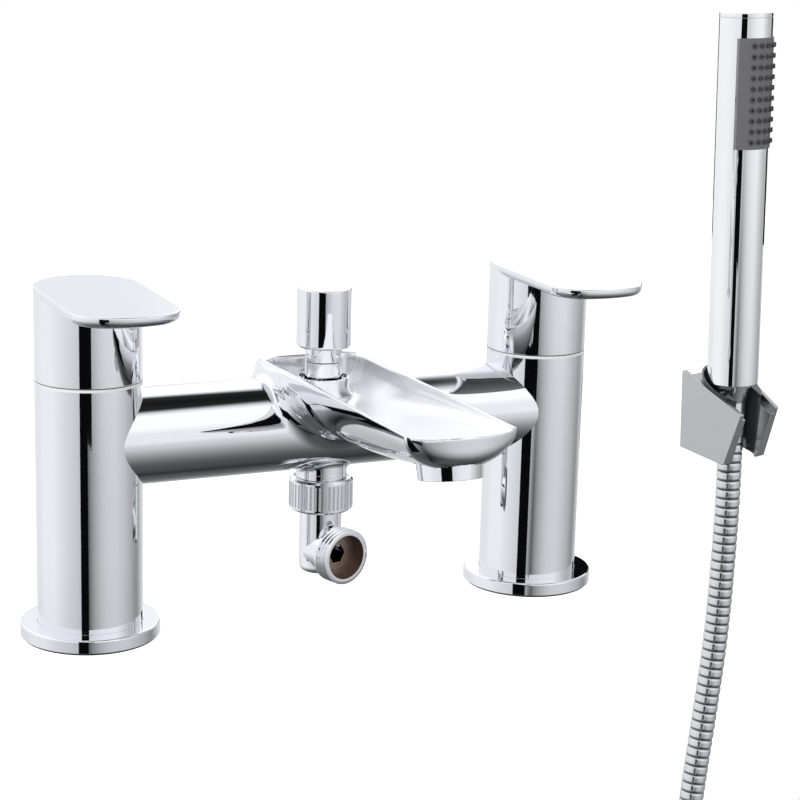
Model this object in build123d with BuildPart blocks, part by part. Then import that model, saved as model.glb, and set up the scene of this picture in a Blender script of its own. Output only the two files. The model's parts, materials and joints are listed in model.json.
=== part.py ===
from build123d import *
import os
from math import cos, degrees, pi, radians, sin, sqrt, tan

os.makedirs("parts", exist_ok=True)

# A deck mounted bath shower mixer with its handset, hose and wall bracket.
# Lengths are millimetres. The deck is z = 0, the spout points along -Y, and the
# two pillars stand on the X axis, half of the inlet spacing from the origin.

# Clearances
fit_gap = 0.05
run_gap = 0.05
face_gap = 0.3
overrun = 5.0

# Pillars, flanges and seals
inlet_spacing = 180.0
pillar_radius = 19.05
pillar_top = 93.6
seal_thickness = 0.8
seal_radius = 24.4
flange_radius = 25.2
flange_top = 5.6
flange_edge = 0.7
inlet_radius = 12.06
inlet_depth = 16.0
riser_radius = 8.0
trim_thickness = 0.9
trim_bore = 14.5

# Cartridge in each pillar
cartridge_seat = 58.0
cartridge_seal_thickness = 2.0
cartridge_seal_bore = 7.0
sleeve_radius = 11.8
sleeve_bore = 9.6
sleeve_shoulder = 80.0
head_seat = 88.2
head_radius = 13.5
head_thickness = 2.4
window_width = 8.0
window_sill = 66.0
window_height = 12.0
disc_thickness = 3.0
disc_port_radius = 2.9
disc_port_offset = 5.4
spindle_radius = 5.0
spindle_foot_length = 16.0
spindle_foot_width = 5.0
spindle_foot_height = 2.4
spline_radius = 4.0
spline_groove_radius = 0.3
spline_count = 16
spline_start = 94.0
spindle_top = 112.0
gland_thickness = 2.6
gland_key = 17.0

# Lever handles
lever_reach = 54.8
lever_bow = 5.0
lever_corner = 13.0
lever_top = 128.0
lever_tilt = 1.6
lever_thickness = 3.9
lever_edge = 0.5
lever_under_edge = 2.6
skirt_wall = 3.2
skirt_roof = 118.0
boss_radius = 8.2
boss_lift = 2.2
grub_radius = 1.95
grub_lift = 9.1
grub_access_radius = 2.3
grub_key = 2.0

# Bar between the pillars
bar_radius = 17.6
bar_height = 72.3
bar_wall = 4.4
core_start = 28.0
core_end = 66.0
channel_radius = 5.2
channel_height = 67.8
spigot_radius = 11.0
spigot_reach = 12.2

# Spout and its scoop
rim_height = 94.8
spout_half_width = 20.5
spout_back = 17.0
spout_back_corner = 9.0
spout_reach = 119.5
spout_bow = 5.5
spout_front_corner = 2.0
nose_round = 8.5
nose_fall = 13.0
nose_clear = 16.0
lip_height = 4.0
belly_station_shares = (-0.142, -0.042, 0.251, 0.51, 0.703, 0.86, 1.02)
belly_depth_shares = (1.0, 0.983, 0.953, 0.86, 0.754, 0.627, 0.491)
belly_depth = 23.6
scoop_half_width = 19.3
scoop_rim = 1.3
scoop_station_shares = (-0.13, 0.0, 0.25, 0.5, 0.75, 0.9, 1.0)
scoop_depth_shares = (1.0, 0.985, 0.77, 0.57, 0.365, 0.2, 0.075)
scoop_depth = 17.3
waterway_height = 4.6
waterway_width = 13.0
waterway_start_height = 71.6
waterway_end_height = 86.2

# Diverter
collar_radius = 9.9
collar_top = 89.5
collar_mouth_radius = 8.9
collar_mouth_depth = 4.5
collar_foot_blend = 4.0
bush_radius = 7.0
bush_thread_radius = 7.2
bush_foot = 75.6
bush_top = 95.0
neck_start = 95.3
knob_radius = 10.2
knob_base = 100.5
knob_top = 122.7
knob_base_edge = 1.2
knob_top_edge = 0.6
knob_socket_depth = 14.0
rod_radius = 2.5
chamber_radius = 6.2
plunger_radius = 5.6
plunger_thickness = 2.2
plunger_seal_thickness = 1.5
spring_wire_radius = 0.4
spring_radius = 3.9
spring_turns = 5

# Shower outlet under the bar
boss_foot = 53.0
nipple_radius = 9.65
nipple_thread_radius = 10.3
nipple_thread_top = 50.4
nipple_spigot_radius = 7.6
nipple_spigot_length = 4.5
nipple_bore = 5.2
nut_radius = 12.15
nut_top = 50.8
nut_foot = 38.5
nut_edge = 1.6
nut_lip = 2.8
nut_ribs = 44
nut_rib_radius = 0.42
washer_thickness = 1.0
elbow_radius = 8.0
elbow_flange_radius = 10.1
elbow_flange_height = 2.0
elbow_bore = 5.6
elbow_foot = 13.9
elbow_foot_round = 2.5
elbow_outlet_height = 22.4
elbow_outlet_reach = 15.6
elbow_outlet_start = 9.2
elbow_turn = 16.7
outlet_thread_radius = 10.48
outlet_root_radius = 9.4
outlet_neck_radius = 8.2
outlet_bore = 8.3
outlet_bore_depth = 5.5
outlet_key = 6.6
thread_pitch = 1.814
outlet_thread_turns = 3
thread_crest_share = 0.85

# Aerator
aerator_set_back = 12.5
aerator_foot = 77.4
aerator_tilt = 10.5
aerator_radius = 11.5
aerator_foot_radius = 10.9
aerator_body_length = 8.0
aerator_thread_radius = 10.2
aerator_thread_length = 2.4
aerator_bore = 9.3
aerator_room = 1.6
insert_recess = 0.8
insert_length = 5.0
insert_hole_radius = 0.75
insert_hole_pitch = 2.3
insert_hole_rounds = 3

# Shower kit, on a wall turned from the bar's line
kit_x = 271.0
kit_y = 128.6
kit_turn = 12.6
kit_lean = 2.2
kit_lean_height = 120.0

# Handset
handset_radius = 12.5
handset_wall = 1.6
handset_foot = 40.0
handset_top = 217.8
cap_thickness = 2.1
cap_seam = 0.1
cap_plug_length = 5.0
cap_edge = 0.3
pad_turn = 3.7
pad_drop = 11.5
pad_height = 51.6
pad_half_angle = 62.0
pad_lift = 0.7
pad_inset = 1.5
bezel_width = 1.3
bezel_lift = 0.35
nozzle_rows = 10
nozzle_columns = 5
nozzle_row_pitch = 4.97
nozzle_column_angle = 16.0
nozzle_radius = 1.15
nozzle_lift = 1.0
nozzle_bore = 0.45
inner_tube_radius = 6.5
inner_tube_wall = 1.2
tail_plug_length = 14.0
tail_stub_radius = 5.6
tail_stub_length = 7.5
tail_bore = 3.6

# Hose
hose_radius = 6.25
hose_bore = 4.0
hose_groove_radius = 5.6
hose_rib_pitch = 4.66
rib_slope_share = 0.12
arc_share = 0.45
cone_radius = 9.9
cone_foot = 30.0
cone_foot_radius = 6.6
ferrule_foot = 13.5

# Hose route in the wall's plane: sideways from the kit's line, and height
hose_route = [(4.7, -50.0), (3.4, -88.0), (-0.9, -126.0), (-6.1, -164.0), (-9.4, -196.0), (-9.9, -222.0)]
coil_left = -9.0
coil_height = -277.0
hose_first_run = 30.0
hose_last_run = 20.0
coil_radius = 71.0
coil_step = 13.3
coil_end_left = -29.0
coil_back_turns = 3
coil_samples_apart = 8
tie_width = 4.0
tie_thickness = 1.0
tie_gap = 0.6

# Far end of the hose
end_ferrule_radius = 7.4
end_ferrule_length = 20.0
end_collar_radius = 9.0
end_collar_length = 2.0
hex_flats = 24.0
hex_length = 13.0
hex_edge = 0.8
hex_lip = 2.5
hex_thread_radius = 9.35
hex_relief = 0.35
hose_washer_thickness = 2.0

# Wall bracket, sizes from the handset's line
wall_distance = 17.0
cheek_front = 18.5
cheek_front_foot = 9.2
cheek_top_back = 45.0
cheek_top_front = 28.3
cheek_foot_front = 1.5
cheek_foot_back = 6.0
cheek_corner = 0.6
cheek_thickness = 2.2
cheek_stand = 3.5
cheek_half_back = 17.6
cheek_half_front = 13.2
slot_width = 17.5
cup_wall = 1.1
cup_rim_rise = 1.5
cup_ledge = 36.8
cup_bore_gap = 1.5
cup_hose_gap = 2.8
cup_foot_radius = 11.6
cup_funnel_gap = 0.6
cup_foot_lift = 1.5
screw_radius = 2.0
screw_head_radius = 3.9
screw_head_height = 2.2
screw_length = 14.0
screw_sink = 0.1
screw_low = 14.0
screw_high = 29.0

# Worked out once from the sizes above
pillar_x = inlet_spacing / 2
trim_top = pillar_top + trim_thickness
handle_foot = trim_top + face_gap
grub_height = handle_foot + grub_lift
seal_top = cartridge_seat + cartridge_seal_thickness
disc_top = seal_top + disc_thickness
moving_disc_foot = disc_top + run_gap
moving_disc_top = moving_disc_foot + disc_thickness
gland_foot = head_seat + head_thickness
nipple_top = boss_foot + nipple_spigot_length
plunger_seal_foot = nipple_top + face_gap
plunger_foot = plunger_seal_foot + plunger_seal_thickness
plunger_top = plunger_foot + plunger_thickness
nut_lip_top = nut_foot + nut_lip
elbow_top = nut_lip_top + face_gap + elbow_flange_height
washer_foot = elbow_top + fit_gap
nipple_foot = washer_foot + washer_thickness
cut_width = 2 * spout_reach
aerator_y = aerator_set_back - spout_reach
aerator_lean = radians(aerator_tilt)
aerator_plane = Plane(
    origin=(0, aerator_y, aerator_foot), x_dir=(1, 0, 0), z_dir=(0, sin(aerator_lean), cos(aerator_lean))
)


def level(height, x=0.0):
    """A level plane over a point of the X axis."""
    return Plane(origin=(x, 0, height))


def ring(base, outer, inner, height):
    """A plain ring standing on a plane."""
    with BuildPart() as piece:
        with BuildSketch(base):
            Circle(outer)
            Circle(inner, mode=Mode.SUBTRACT)
        extrude(amount=height)
    return piece


# Flange and seal under each pillar


def make_flange(x):
    with BuildPart() as piece:
        with BuildSketch(level(seal_thickness, x)):
            Circle(flange_radius)
            Circle(pillar_radius + fit_gap, mode=Mode.SUBTRACT)
        extrude(amount=flange_top - seal_thickness)
        rims = piece.edges().filter_by(GeomType.CIRCLE).group_by(Axis.Z)[-1]
        fillet(rims.sort_by(SortBy.RADIUS)[-1], flange_edge)
    return piece


# Pillar with its inlet socket, riser, cartridge seat and bar socket


def make_pillar(x, inward):
    with BuildPart() as piece:
        with BuildSketch(level(seal_thickness, x)):
            Circle(pillar_radius)
        extrude(amount=pillar_top - seal_thickness)
        with BuildSketch(level(seal_thickness, x)):
            Circle(inlet_radius)
        extrude(amount=inlet_depth, mode=Mode.SUBTRACT)
        with BuildSketch(level(seal_thickness, x)):
            Circle(riser_radius)
        extrude(amount=cartridge_seat, mode=Mode.SUBTRACT)
        with BuildSketch(level(cartridge_seat, x)):
            Circle(sleeve_radius + fit_gap)
        extrude(amount=pillar_top - cartridge_seat, mode=Mode.SUBTRACT)
        with BuildSketch(level(head_seat, x)):
            Circle(head_radius + fit_gap)
        extrude(amount=pillar_top - head_seat, mode=Mode.SUBTRACT)
        with BuildSketch(Plane(origin=(x, 0, bar_height), z_dir=(inward, 0, 0))):
            Circle(spigot_radius + fit_gap)
        extrude(amount=pillar_radius + overrun, mode=Mode.SUBTRACT)
    return piece


# Cartridge


def make_sleeve(x):
    with BuildPart() as piece:
        with BuildSketch(level(seal_top, x)):
            Circle(sleeve_radius)
        extrude(amount=head_seat - seal_top)
        with BuildSketch(level(head_seat, x)):
            Circle(head_radius)
        extrude(amount=head_thickness)
        with BuildSketch(level(seal_top, x)):
            Circle(sleeve_bore)
        extrude(amount=sleeve_shoulder - seal_top, mode=Mode.SUBTRACT)
        with BuildSketch(level(seal_top, x)):
            Circle(spindle_radius + run_gap)
        extrude(amount=gland_foot - seal_top, mode=Mode.SUBTRACT)
        with BuildSketch(level(window_sill, x)):
            Rectangle(2 * sleeve_radius + overrun, window_width)
            Rectangle(window_width, 2 * sleeve_radius + overrun)
            Circle(sleeve_bore, mode=Mode.SUBTRACT)
        extrude(amount=window_height, mode=Mode.SUBTRACT)
    return piece


def make_disc(x, foot, radius, turn):
    with BuildPart() as piece:
        with BuildSketch(level(foot, x)):
            Circle(radius)
            with PolarLocations(disc_port_offset, 2, start_angle=turn):
                Circle(disc_port_radius, mode=Mode.SUBTRACT)
        extrude(amount=disc_thickness)
    return piece


def make_spindle(x):
    with BuildPart() as piece:
        with BuildSketch(level(moving_disc_top, x)):
            Rectangle(spindle_foot_length, spindle_foot_width)
        extrude(amount=spindle_foot_height)
        with BuildSketch(level(moving_disc_top, x)):
            Circle(spindle_radius)
        extrude(amount=spline_start - moving_disc_top)
        with BuildSketch(level(spline_start, x)):
            Circle(spline_radius)
            with PolarLocations(spline_radius, spline_count):
                Circle(spline_groove_radius, mode=Mode.SUBTRACT)
        extrude(amount=spindle_top - spline_start)
    return piece


def make_gland_nut(x):
    with BuildPart() as piece:
        with BuildSketch(level(gland_foot, x)):
            Circle(head_radius)
            RegularPolygon(gland_key / 2, 6, major_radius=False, mode=Mode.SUBTRACT)
        extrude(amount=gland_thickness)
    return piece


# Lever handle: a round skirt under a flat blade that falls a little to the front


def make_handle(x):
    fall = radians(lever_tilt)
    top_plane = Plane(origin=(x, 0, lever_top), x_dir=(1, 0, 0), z_dir=(0, -sin(fall), cos(fall)))
    under_plane = top_plane.offset(-lever_thickness)
    with BuildPart() as skirt:
        with BuildSketch(level(handle_foot, x)):
            Circle(pillar_radius)
        extrude(amount=lever_top)
        split(bisect_by=under_plane.offset(lever_under_edge), keep=Keep.BOTTOM)
    with BuildPart() as piece:
        with BuildSketch(level(handle_foot, x)):
            with BuildLine():
                side_left = Line((-pillar_radius, 0), (-pillar_radius, lever_bow - lever_reach))
                front = ThreePointArc(
                    side_left @ 1, (0, -lever_reach), (pillar_radius, lever_bow - lever_reach)
                )
                Line(front @ 1, (pillar_radius, 0))
                Line((pillar_radius, 0), side_left @ 0)
            blade = make_face()
            fillet(blade.vertices().group_by(Axis.Y)[0], lever_corner)
            Circle(pillar_radius)
        extrude(amount=lever_top)
        split(bisect_by=under_plane, keep=Keep.TOP)
        split(bisect_by=top_plane, keep=Keep.BOTTOM)
        fillet(piece.faces().sort_by(Axis.Z)[-1].edges(), lever_edge)
        fillet(piece.faces().sort_by(Axis.Z)[0].edges(), lever_under_edge)
        add(skirt.part)
        with BuildSketch(level(handle_foot, x)):
            Circle(pillar_radius - skirt_wall)
        extrude(amount=skirt_roof - handle_foot, mode=Mode.SUBTRACT)
        with BuildSketch(level(handle_foot + boss_lift, x)):
            Circle(boss_radius)
        extrude(amount=skirt_roof - handle_foot - boss_lift)
        with BuildSketch(level(handle_foot, x)):
            Circle(spline_radius + fit_gap)
        extrude(amount=spindle_top + face_gap - handle_foot, mode=Mode.SUBTRACT)
        with BuildSketch(Plane(origin=(x, 0, grub_height), z_dir=(0, 1, 0))):
            Circle(grub_radius + fit_gap)
        extrude(amount=boss_radius + overrun, mode=Mode.SUBTRACT)
        with BuildSketch(Plane(origin=(x, pillar_radius - skirt_wall - run_gap, grub_height), z_dir=(0, 1, 0))):
            Circle(grub_access_radius)
        extrude(amount=skirt_wall + overrun, mode=Mode.SUBTRACT)
    return piece


def make_grub_screw(x):
    start = spline_radius + 2 * fit_gap
    with BuildPart() as piece:
        with BuildSketch(Plane(origin=(x, start, grub_height), z_dir=(0, 1, 0))):
            Circle(grub_radius)
        extrude(amount=boss_radius - start)
        with BuildSketch(Plane(origin=(x, boss_radius, grub_height), z_dir=(0, -1, 0))):
            RegularPolygon(grub_key / 2, 6, major_radius=False)
        extrude(amount=grub_key, mode=Mode.SUBTRACT)
    return piece


for side, sign in (("left", -1), ("right", 1)):
    x = sign * pillar_x
    seal = ring(level(0, x), seal_radius, inlet_radius + run_gap, seal_thickness)
    flange = make_flange(x)
    pillar = make_pillar(x, -sign)
    trim = ring(level(pillar_top, x), pillar_radius, trim_bore, trim_thickness)
    disc_seal = ring(level(cartridge_seat, x), sleeve_radius, cartridge_seal_bore, cartridge_seal_thickness)
    sleeve = make_sleeve(x)
    fixed_disc = make_disc(x, seal_top, sleeve_bore - fit_gap, 0)
    moving_disc = make_disc(x, moving_disc_foot, sleeve_bore - 2 * run_gap, 90)
    spindle = make_spindle(x)
    gland_nut = make_gland_nut(x)
    handle = make_handle(x)
    grub_screw = make_grub_screw(x)
    pieces = {
        "base_seal": seal,
        "base_flange": flange,
        "pillar": pillar,
        "trim_ring": trim,
        "cartridge_seal": disc_seal,
        "cartridge_sleeve": sleeve,
        "fixed_disc": fixed_disc,
        "moving_disc": moving_disc,
        "spindle": spindle,
        "gland_nut": gland_nut,
        "handle": handle,
        "grub_screw": grub_screw,
    }
    for name, piece in pieces.items():
        piece.part.label = f"{side}_{name}"
        export_step(piece.part, f"parts/{side}_{name}.step")


# Mixer body: bar, hump, spout with its scoop, diverter collar and outlet boss


def across(y, height):
    """A plane across the spout, its X along the bar and its Y up."""
    return Plane(origin=(0, y, height), x_dir=(1, 0, 0), z_dir=(0, -1, 0))


def half_bowl(base, half_width, depth):
    """The lower half of an ellipse under a level line."""
    with BuildSketch(base) as bowl:
        with BuildLine():
            curve = EllipticalCenterArc((0, 0), half_width, depth, start_angle=180, arc_size=180)
            Line(curve @ 1, curve @ 0)
        make_face()
    return bowl.sketch


def spout_outline(inset):
    """The spout's rim seen from above, drawn inwards by an inset."""
    half = spout_half_width - inset
    back = spout_back - inset
    shoulder = spout_bow - spout_reach
    with BuildSketch(level(rim_height)) as outline:
        with BuildLine():
            left = Line((-half, back), (-half, shoulder))
            front = ThreePointArc(left @ 1, (0, inset - spout_reach), (half, shoulder))
            right = Line(front @ 1, (half, back))
            Line(right @ 1, left @ 0)
        face = make_face()
        fillet(face.vertices().group_by(Axis.Y)[-1], spout_back_corner - inset)
        fillet(face.vertices().group_by(Axis.Y)[0], spout_front_corner)
    return outline.sketch


def bowl_row(length, half_width, depth, station_shares, depth_shares):
    """Bowls in a row along the spout, from the back of the bar to the lip."""
    rows = zip(station_shares, depth_shares)
    return [half_bowl(across(-station * length, rim_height), half_width, share * depth) for station, share in rows]


with BuildPart() as spout_blank:
    loft(bowl_row(spout_reach, spout_half_width, belly_depth, belly_station_shares, belly_depth_shares))
    extrude(spout_outline(0), amount=-2 * belly_depth, mode=Mode.INTERSECT)

with BuildPart() as scoop:
    reach = spout_reach - scoop_rim
    loft(bowl_row(reach, scoop_half_width, scoop_depth, scoop_station_shares, scoop_depth_shares))
    extrude(spout_outline(scoop_rim), amount=-2 * scoop_depth, mode=Mode.INTERSECT)


# The lip's underside rolls up to the front round the centre of the front's bow
bow_radius = (spout_half_width**2 + spout_bow**2) / (2 * spout_bow)
bow_centre = bow_radius - spout_reach
nose_drop = radians(nose_fall)
nose_inner = bow_radius - nose_round * (1 - sin(nose_drop))
nose_foot = rim_height - lip_height - nose_round * cos(nose_drop)
with BuildPart() as nose:
    with BuildSketch(Plane(origin=(0, bow_centre, 0), x_dir=(1, 0, 0), z_dir=(0, -1, 0))):
        with BuildLine():
            top = Line((0, rim_height), (bow_radius, rim_height))
            lip = Line(top @ 1, (bow_radius, rim_height - lip_height))
            under = CenterArc(
                (bow_radius - nose_round, rim_height - lip_height), nose_round, 0, arc_size=nose_fall - 90
            )
            fall = Line((nose_inner, nose_foot), (0, nose_foot - nose_inner * tan(nose_drop)))
            Line(fall @ 1, top @ 0)
        make_face()
    revolve(axis=Axis((0, bow_centre, 0), (0, 0, 1)))
    with BuildSketch(level(rim_height)):
        with Locations((0, bow_centre + nose_clear)):
            Rectangle(cut_width, cut_width, align=(Align.CENTER, Align.MIN))
    extrude(amount=-2 * belly_depth)

with BuildPart() as mixer_body:
    add(spout_blank.part)
    add(nose.part, mode=Mode.INTERSECT)
    with BuildSketch(Plane(origin=(0, 0, bar_height), z_dir=(1, 0, 0))):
        Circle(bar_radius)
    extrude(amount=pillar_x, both=True)
    for x in (-pillar_x, pillar_x):
        with BuildSketch(level(0, x)):
            Circle(pillar_radius + fit_gap)
        extrude(amount=pillar_top, mode=Mode.SUBTRACT)
    with BuildSketch(level(boss_foot)):
        Circle(nipple_radius)
    extrude(amount=bar_height - boss_foot)
    add(scoop.part, mode=Mode.SUBTRACT)

    # Spigots into the pillars, with the castings' cores and water channel
    for sign in (-1, 1):
        with BuildSketch(Plane(origin=(sign * (pillar_x - spigot_reach), 0, bar_height), z_dir=(-sign, 0, 0))):
            Circle(spigot_radius)
        extrude(amount=pillar_radius)
        with BuildSketch(Plane(origin=(sign * core_start, 0, bar_height), z_dir=(sign, 0, 0))):
            Circle(bar_radius - bar_wall)
        extrude(amount=core_end - core_start, mode=Mode.SUBTRACT)
    with BuildSketch(Plane(origin=(0, 0, channel_height), z_dir=(1, 0, 0))):
        Circle(channel_radius)
    extrude(amount=pillar_x, both=True, mode=Mode.SUBTRACT)

    # Diverter collar with its flared foot in the scoop
    scoop_floor = rim_height - scoop_depth
    with BuildSketch(Plane.XZ):
        with BuildLine():
            foot = Line((0, bar_height), (collar_radius + collar_foot_blend, bar_height))
            side = Line(foot @ 1, (collar_radius + collar_foot_blend, scoop_floor))
            CenterArc(
                (collar_radius + collar_foot_blend, scoop_floor + collar_foot_blend),
                collar_foot_blend,
                180,
                arc_size=90,
            )
            wall = Line((collar_radius, scoop_floor + collar_foot_blend), (collar_radius, collar_top))
            top = Line(wall @ 1, (0, collar_top))
            Line(top @ 1, foot @ 0)
        make_face()
    revolve(axis=Axis.Z)
    with BuildSketch(level(collar_top - collar_mouth_depth)):
        Circle(collar_mouth_radius)
    extrude(amount=collar_mouth_depth, mode=Mode.SUBTRACT)
    with BuildSketch(level(bush_foot)):
        Circle(bush_thread_radius + fit_gap)
    extrude(amount=collar_top - bush_foot, mode=Mode.SUBTRACT)
    with BuildSketch(level(boss_foot)):
        Circle(chamber_radius)
    extrude(amount=bush_foot - boss_foot, mode=Mode.SUBTRACT)
    with BuildSketch(level(boss_foot)):
        Circle(nipple_spigot_radius + fit_gap)
    extrude(amount=nipple_spigot_length, mode=Mode.SUBTRACT)

    # Waterway to the aerator and the aerator's socket
    waterway = Vector(0, aerator_y, waterway_end_height - waterway_start_height)
    with BuildSketch(Plane(origin=(0, 0, waterway_start_height), x_dir=(1, 0, 0), z_dir=waterway)):
        SlotOverall(waterway_width, waterway_height)
    extrude(amount=waterway.length, mode=Mode.SUBTRACT)
    with BuildSketch(aerator_plane):
        Circle(aerator_radius + fit_gap)
    extrude(amount=aerator_body_length, mode=Mode.SUBTRACT)
    with BuildSketch(aerator_plane):
        Circle(aerator_thread_radius + fit_gap)
    extrude(amount=aerator_body_length + aerator_thread_length + aerator_room, mode=Mode.SUBTRACT)
mixer_body.part.label = "mixer_body"
export_step(mixer_body.part, "parts/mixer_body.step")

# Diverter

with BuildPart() as bush:
    with BuildSketch(level(bush_foot)):
        Circle(bush_thread_radius)
    extrude(amount=collar_top - collar_mouth_depth - bush_foot)
    with BuildSketch(level(bush_foot)):
        Circle(bush_radius)
    extrude(amount=bush_top - bush_foot)
    with BuildSketch(level(bush_foot)):
        Circle(rod_radius + run_gap)
    extrude(amount=bush_top - bush_foot, mode=Mode.SUBTRACT)
bush.part.label = "diverter_bush"
export_step(bush.part, "parts/diverter_bush.step")

with BuildPart() as knob:
    with BuildSketch(level(knob_base)):
        Circle(knob_radius)
    extrude(amount=knob_top - knob_base)
    fillet(knob.edges().group_by(Axis.Z)[0], knob_base_edge)
    fillet(knob.edges().group_by(Axis.Z)[-1], knob_top_edge)
    with BuildSketch(level(neck_start)):
        Circle(bush_radius)
    extrude(amount=knob_base + knob_base_edge - neck_start)
    with BuildSketch(level(neck_start)):
        Circle(rod_radius + fit_gap)
    extrude(amount=knob_socket_depth, mode=Mode.SUBTRACT)
knob.part.label = "diverter_knob"
export_step(knob.part, "parts/diverter_knob.step")

with BuildPart() as plunger:
    with BuildSketch(level(plunger_seal_foot)):
        Circle(rod_radius)
    extrude(amount=neck_start + knob_socket_depth - plunger_seal_foot)
    with BuildSketch(level(plunger_foot)):
        Circle(plunger_radius)
    extrude(amount=plunger_thickness)
plunger.part.label = "diverter_plunger"
export_step(plunger.part, "parts/diverter_plunger.step")

plunger_seal = ring(level(plunger_seal_foot), plunger_radius, rod_radius + fit_gap, plunger_seal_thickness)
plunger_seal.part.label = "diverter_seal"
export_step(plunger_seal.part, "parts/diverter_seal.step")

spring_foot = plunger_top + spring_wire_radius + fit_gap
spring_height = bush_foot - spring_wire_radius - fit_gap - spring_foot
with BuildPart() as spring:
    with BuildLine():
        turns = Helix(spring_height / spring_turns, spring_height, spring_radius, center=(0, 0, spring_foot))
    with BuildSketch(Plane(origin=turns @ 0, z_dir=turns % 0)):
        Circle(spring_wire_radius)
    sweep(is_frenet=True)
spring.part.label = "diverter_spring"
export_step(spring.part, "parts/diverter_spring.step")

# Shower outlet

with BuildPart() as nipple:
    with BuildSketch(level(nipple_foot)):
        Circle(nipple_thread_radius)
    extrude(amount=nipple_thread_top - nipple_foot)
    with BuildSketch(level(nipple_thread_top)):
        Circle(nipple_radius)
    extrude(amount=boss_foot - nipple_thread_top)
    with BuildSketch(level(boss_foot)):
        Circle(nipple_spigot_radius)
    extrude(amount=nipple_spigot_length)
    with BuildSketch(level(nipple_foot)):
        Circle(nipple_bore)
    extrude(amount=nipple_top - nipple_foot, mode=Mode.SUBTRACT)
nipple.part.label = "outlet_nipple"
export_step(nipple.part, "parts/outlet_nipple.step")

with BuildPart() as union_nut:
    with BuildSketch(level(nut_foot)):
        Circle(nut_radius)
    extrude(amount=nut_top - nut_foot)
    chamfer(union_nut.edges().filter_by(GeomType.CIRCLE), nut_edge / 2)
    with BuildSketch(level(nut_foot + nut_edge)):
        with PolarLocations(nut_radius, nut_ribs):
            Circle(nut_rib_radius)
    extrude(amount=nut_top - nut_foot - 2 * nut_edge, mode=Mode.SUBTRACT)
    with BuildSketch(level(nut_foot)):
        Circle(elbow_radius + face_gap)
    extrude(amount=nut_lip, mode=Mode.SUBTRACT)
    with BuildSketch(level(nut_lip_top)):
        Circle(nipple_thread_radius + run_gap)
    extrude(amount=nut_top - nut_lip_top, mode=Mode.SUBTRACT)
union_nut.part.label = "union_nut"
export_step(union_nut.part, "parts/union_nut.step")

union_washer = ring(level(washer_foot), elbow_flange_radius, elbow_bore, washer_thickness)
union_washer.part.label = "union_washer"
export_step(union_washer.part, "parts/union_washer.step")

outlet_way = Vector(sin(radians(elbow_turn)), -cos(radians(elbow_turn)), 0)
outlet_centre = Vector(0, 0, elbow_outlet_height)
outlet_plane = Plane(origin=outlet_centre, z_dir=outlet_way)
thread_points = [(0, 0), (0, outlet_neck_radius), (elbow_outlet_start, outlet_neck_radius)]
thread_points += [(elbow_outlet_start, outlet_thread_radius)]
thread_start = elbow_outlet_reach - outlet_thread_turns * thread_pitch
for turn in range(outlet_thread_turns):
    here = thread_start + turn * thread_pitch
    thread_points += [(here, outlet_thread_radius), (here + thread_pitch / 3, outlet_root_radius)]
    thread_points += [(here + thread_pitch / 2, outlet_root_radius)]
    thread_points += [(here + thread_pitch * thread_crest_share, outlet_thread_radius)]
thread_points += [(elbow_outlet_reach, outlet_root_radius), (elbow_outlet_reach, 0)]
with BuildPart() as elbow:
    with BuildSketch(level(elbow_foot)):
        Circle(elbow_radius)
    extrude(amount=elbow_top - elbow_foot)
    fillet(elbow.edges().group_by(Axis.Z)[0], elbow_foot_round)
    with BuildSketch(level(elbow_top - elbow_flange_height)):
        Circle(elbow_flange_radius)
    extrude(amount=elbow_flange_height)
    with BuildSketch(Plane(origin=outlet_centre, x_dir=outlet_way, z_dir=outlet_way.cross(Vector(0, 0, 1)))):
        with BuildLine():
            Polyline(*thread_points, close=True)
        make_face()
    revolve(axis=Axis(outlet_centre, outlet_way))
    with BuildSketch(level(elbow_outlet_height)):
        Circle(elbow_bore)
    extrude(amount=elbow_top - elbow_outlet_height, mode=Mode.SUBTRACT)
    with BuildSketch(outlet_plane.offset(elbow_outlet_reach)):
        Circle(outlet_bore)
    extrude(amount=-outlet_bore_depth, mode=Mode.SUBTRACT)
    with BuildSketch(outlet_plane):
        RegularPolygon(outlet_key / 2, 6, major_radius=False)
    extrude(amount=elbow_outlet_reach, mode=Mode.SUBTRACT)
elbow.part.label = "outlet_elbow"
export_step(elbow.part, "parts/outlet_elbow.step")

# Aerator

with BuildPart() as aerator:
    with BuildSketch(aerator_plane):
        Circle(aerator_foot_radius)
    with BuildSketch(aerator_plane.offset(aerator_body_length)):
        Circle(aerator_radius)
    loft()
    with BuildSketch(aerator_plane.offset(aerator_body_length)):
        Circle(aerator_thread_radius)
    extrude(amount=aerator_thread_length)
    with BuildSketch(aerator_plane.offset(insert_recess)):
        Circle(aerator_bore)
    extrude(amount=aerator_body_length + aerator_thread_length, mode=Mode.SUBTRACT)
    with BuildSketch(aerator_plane):
        Circle(aerator_bore - insert_recess)
    extrude(amount=insert_recess, mode=Mode.SUBTRACT)
aerator.part.label = "aerator_housing"
export_step(aerator.part, "parts/aerator_housing.step")

with BuildPart() as insert:
    with BuildSketch(aerator_plane.offset(insert_recess)):
        Circle(aerator_bore - fit_gap)
        for round_number in range(1, insert_hole_rounds + 1):
            with PolarLocations(round_number * insert_hole_pitch, 6 * round_number):
                Circle(insert_hole_radius, mode=Mode.SUBTRACT)
    extrude(amount=insert_length)
insert.part.label = "aerator_insert"
export_step(insert.part, "parts/aerator_insert.step")

aerator_washer = ring(
    aerator_plane.offset(aerator_body_length + aerator_thread_length),
    aerator_thread_radius,
    aerator_bore - insert_recess,
    aerator_room - face_gap,
)
aerator_washer.part.label = "aerator_washer"
export_step(aerator_washer.part, "parts/aerator_washer.step")

# Planes of the shower kit. The kit's line leans a little in the wall's plane.

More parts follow.
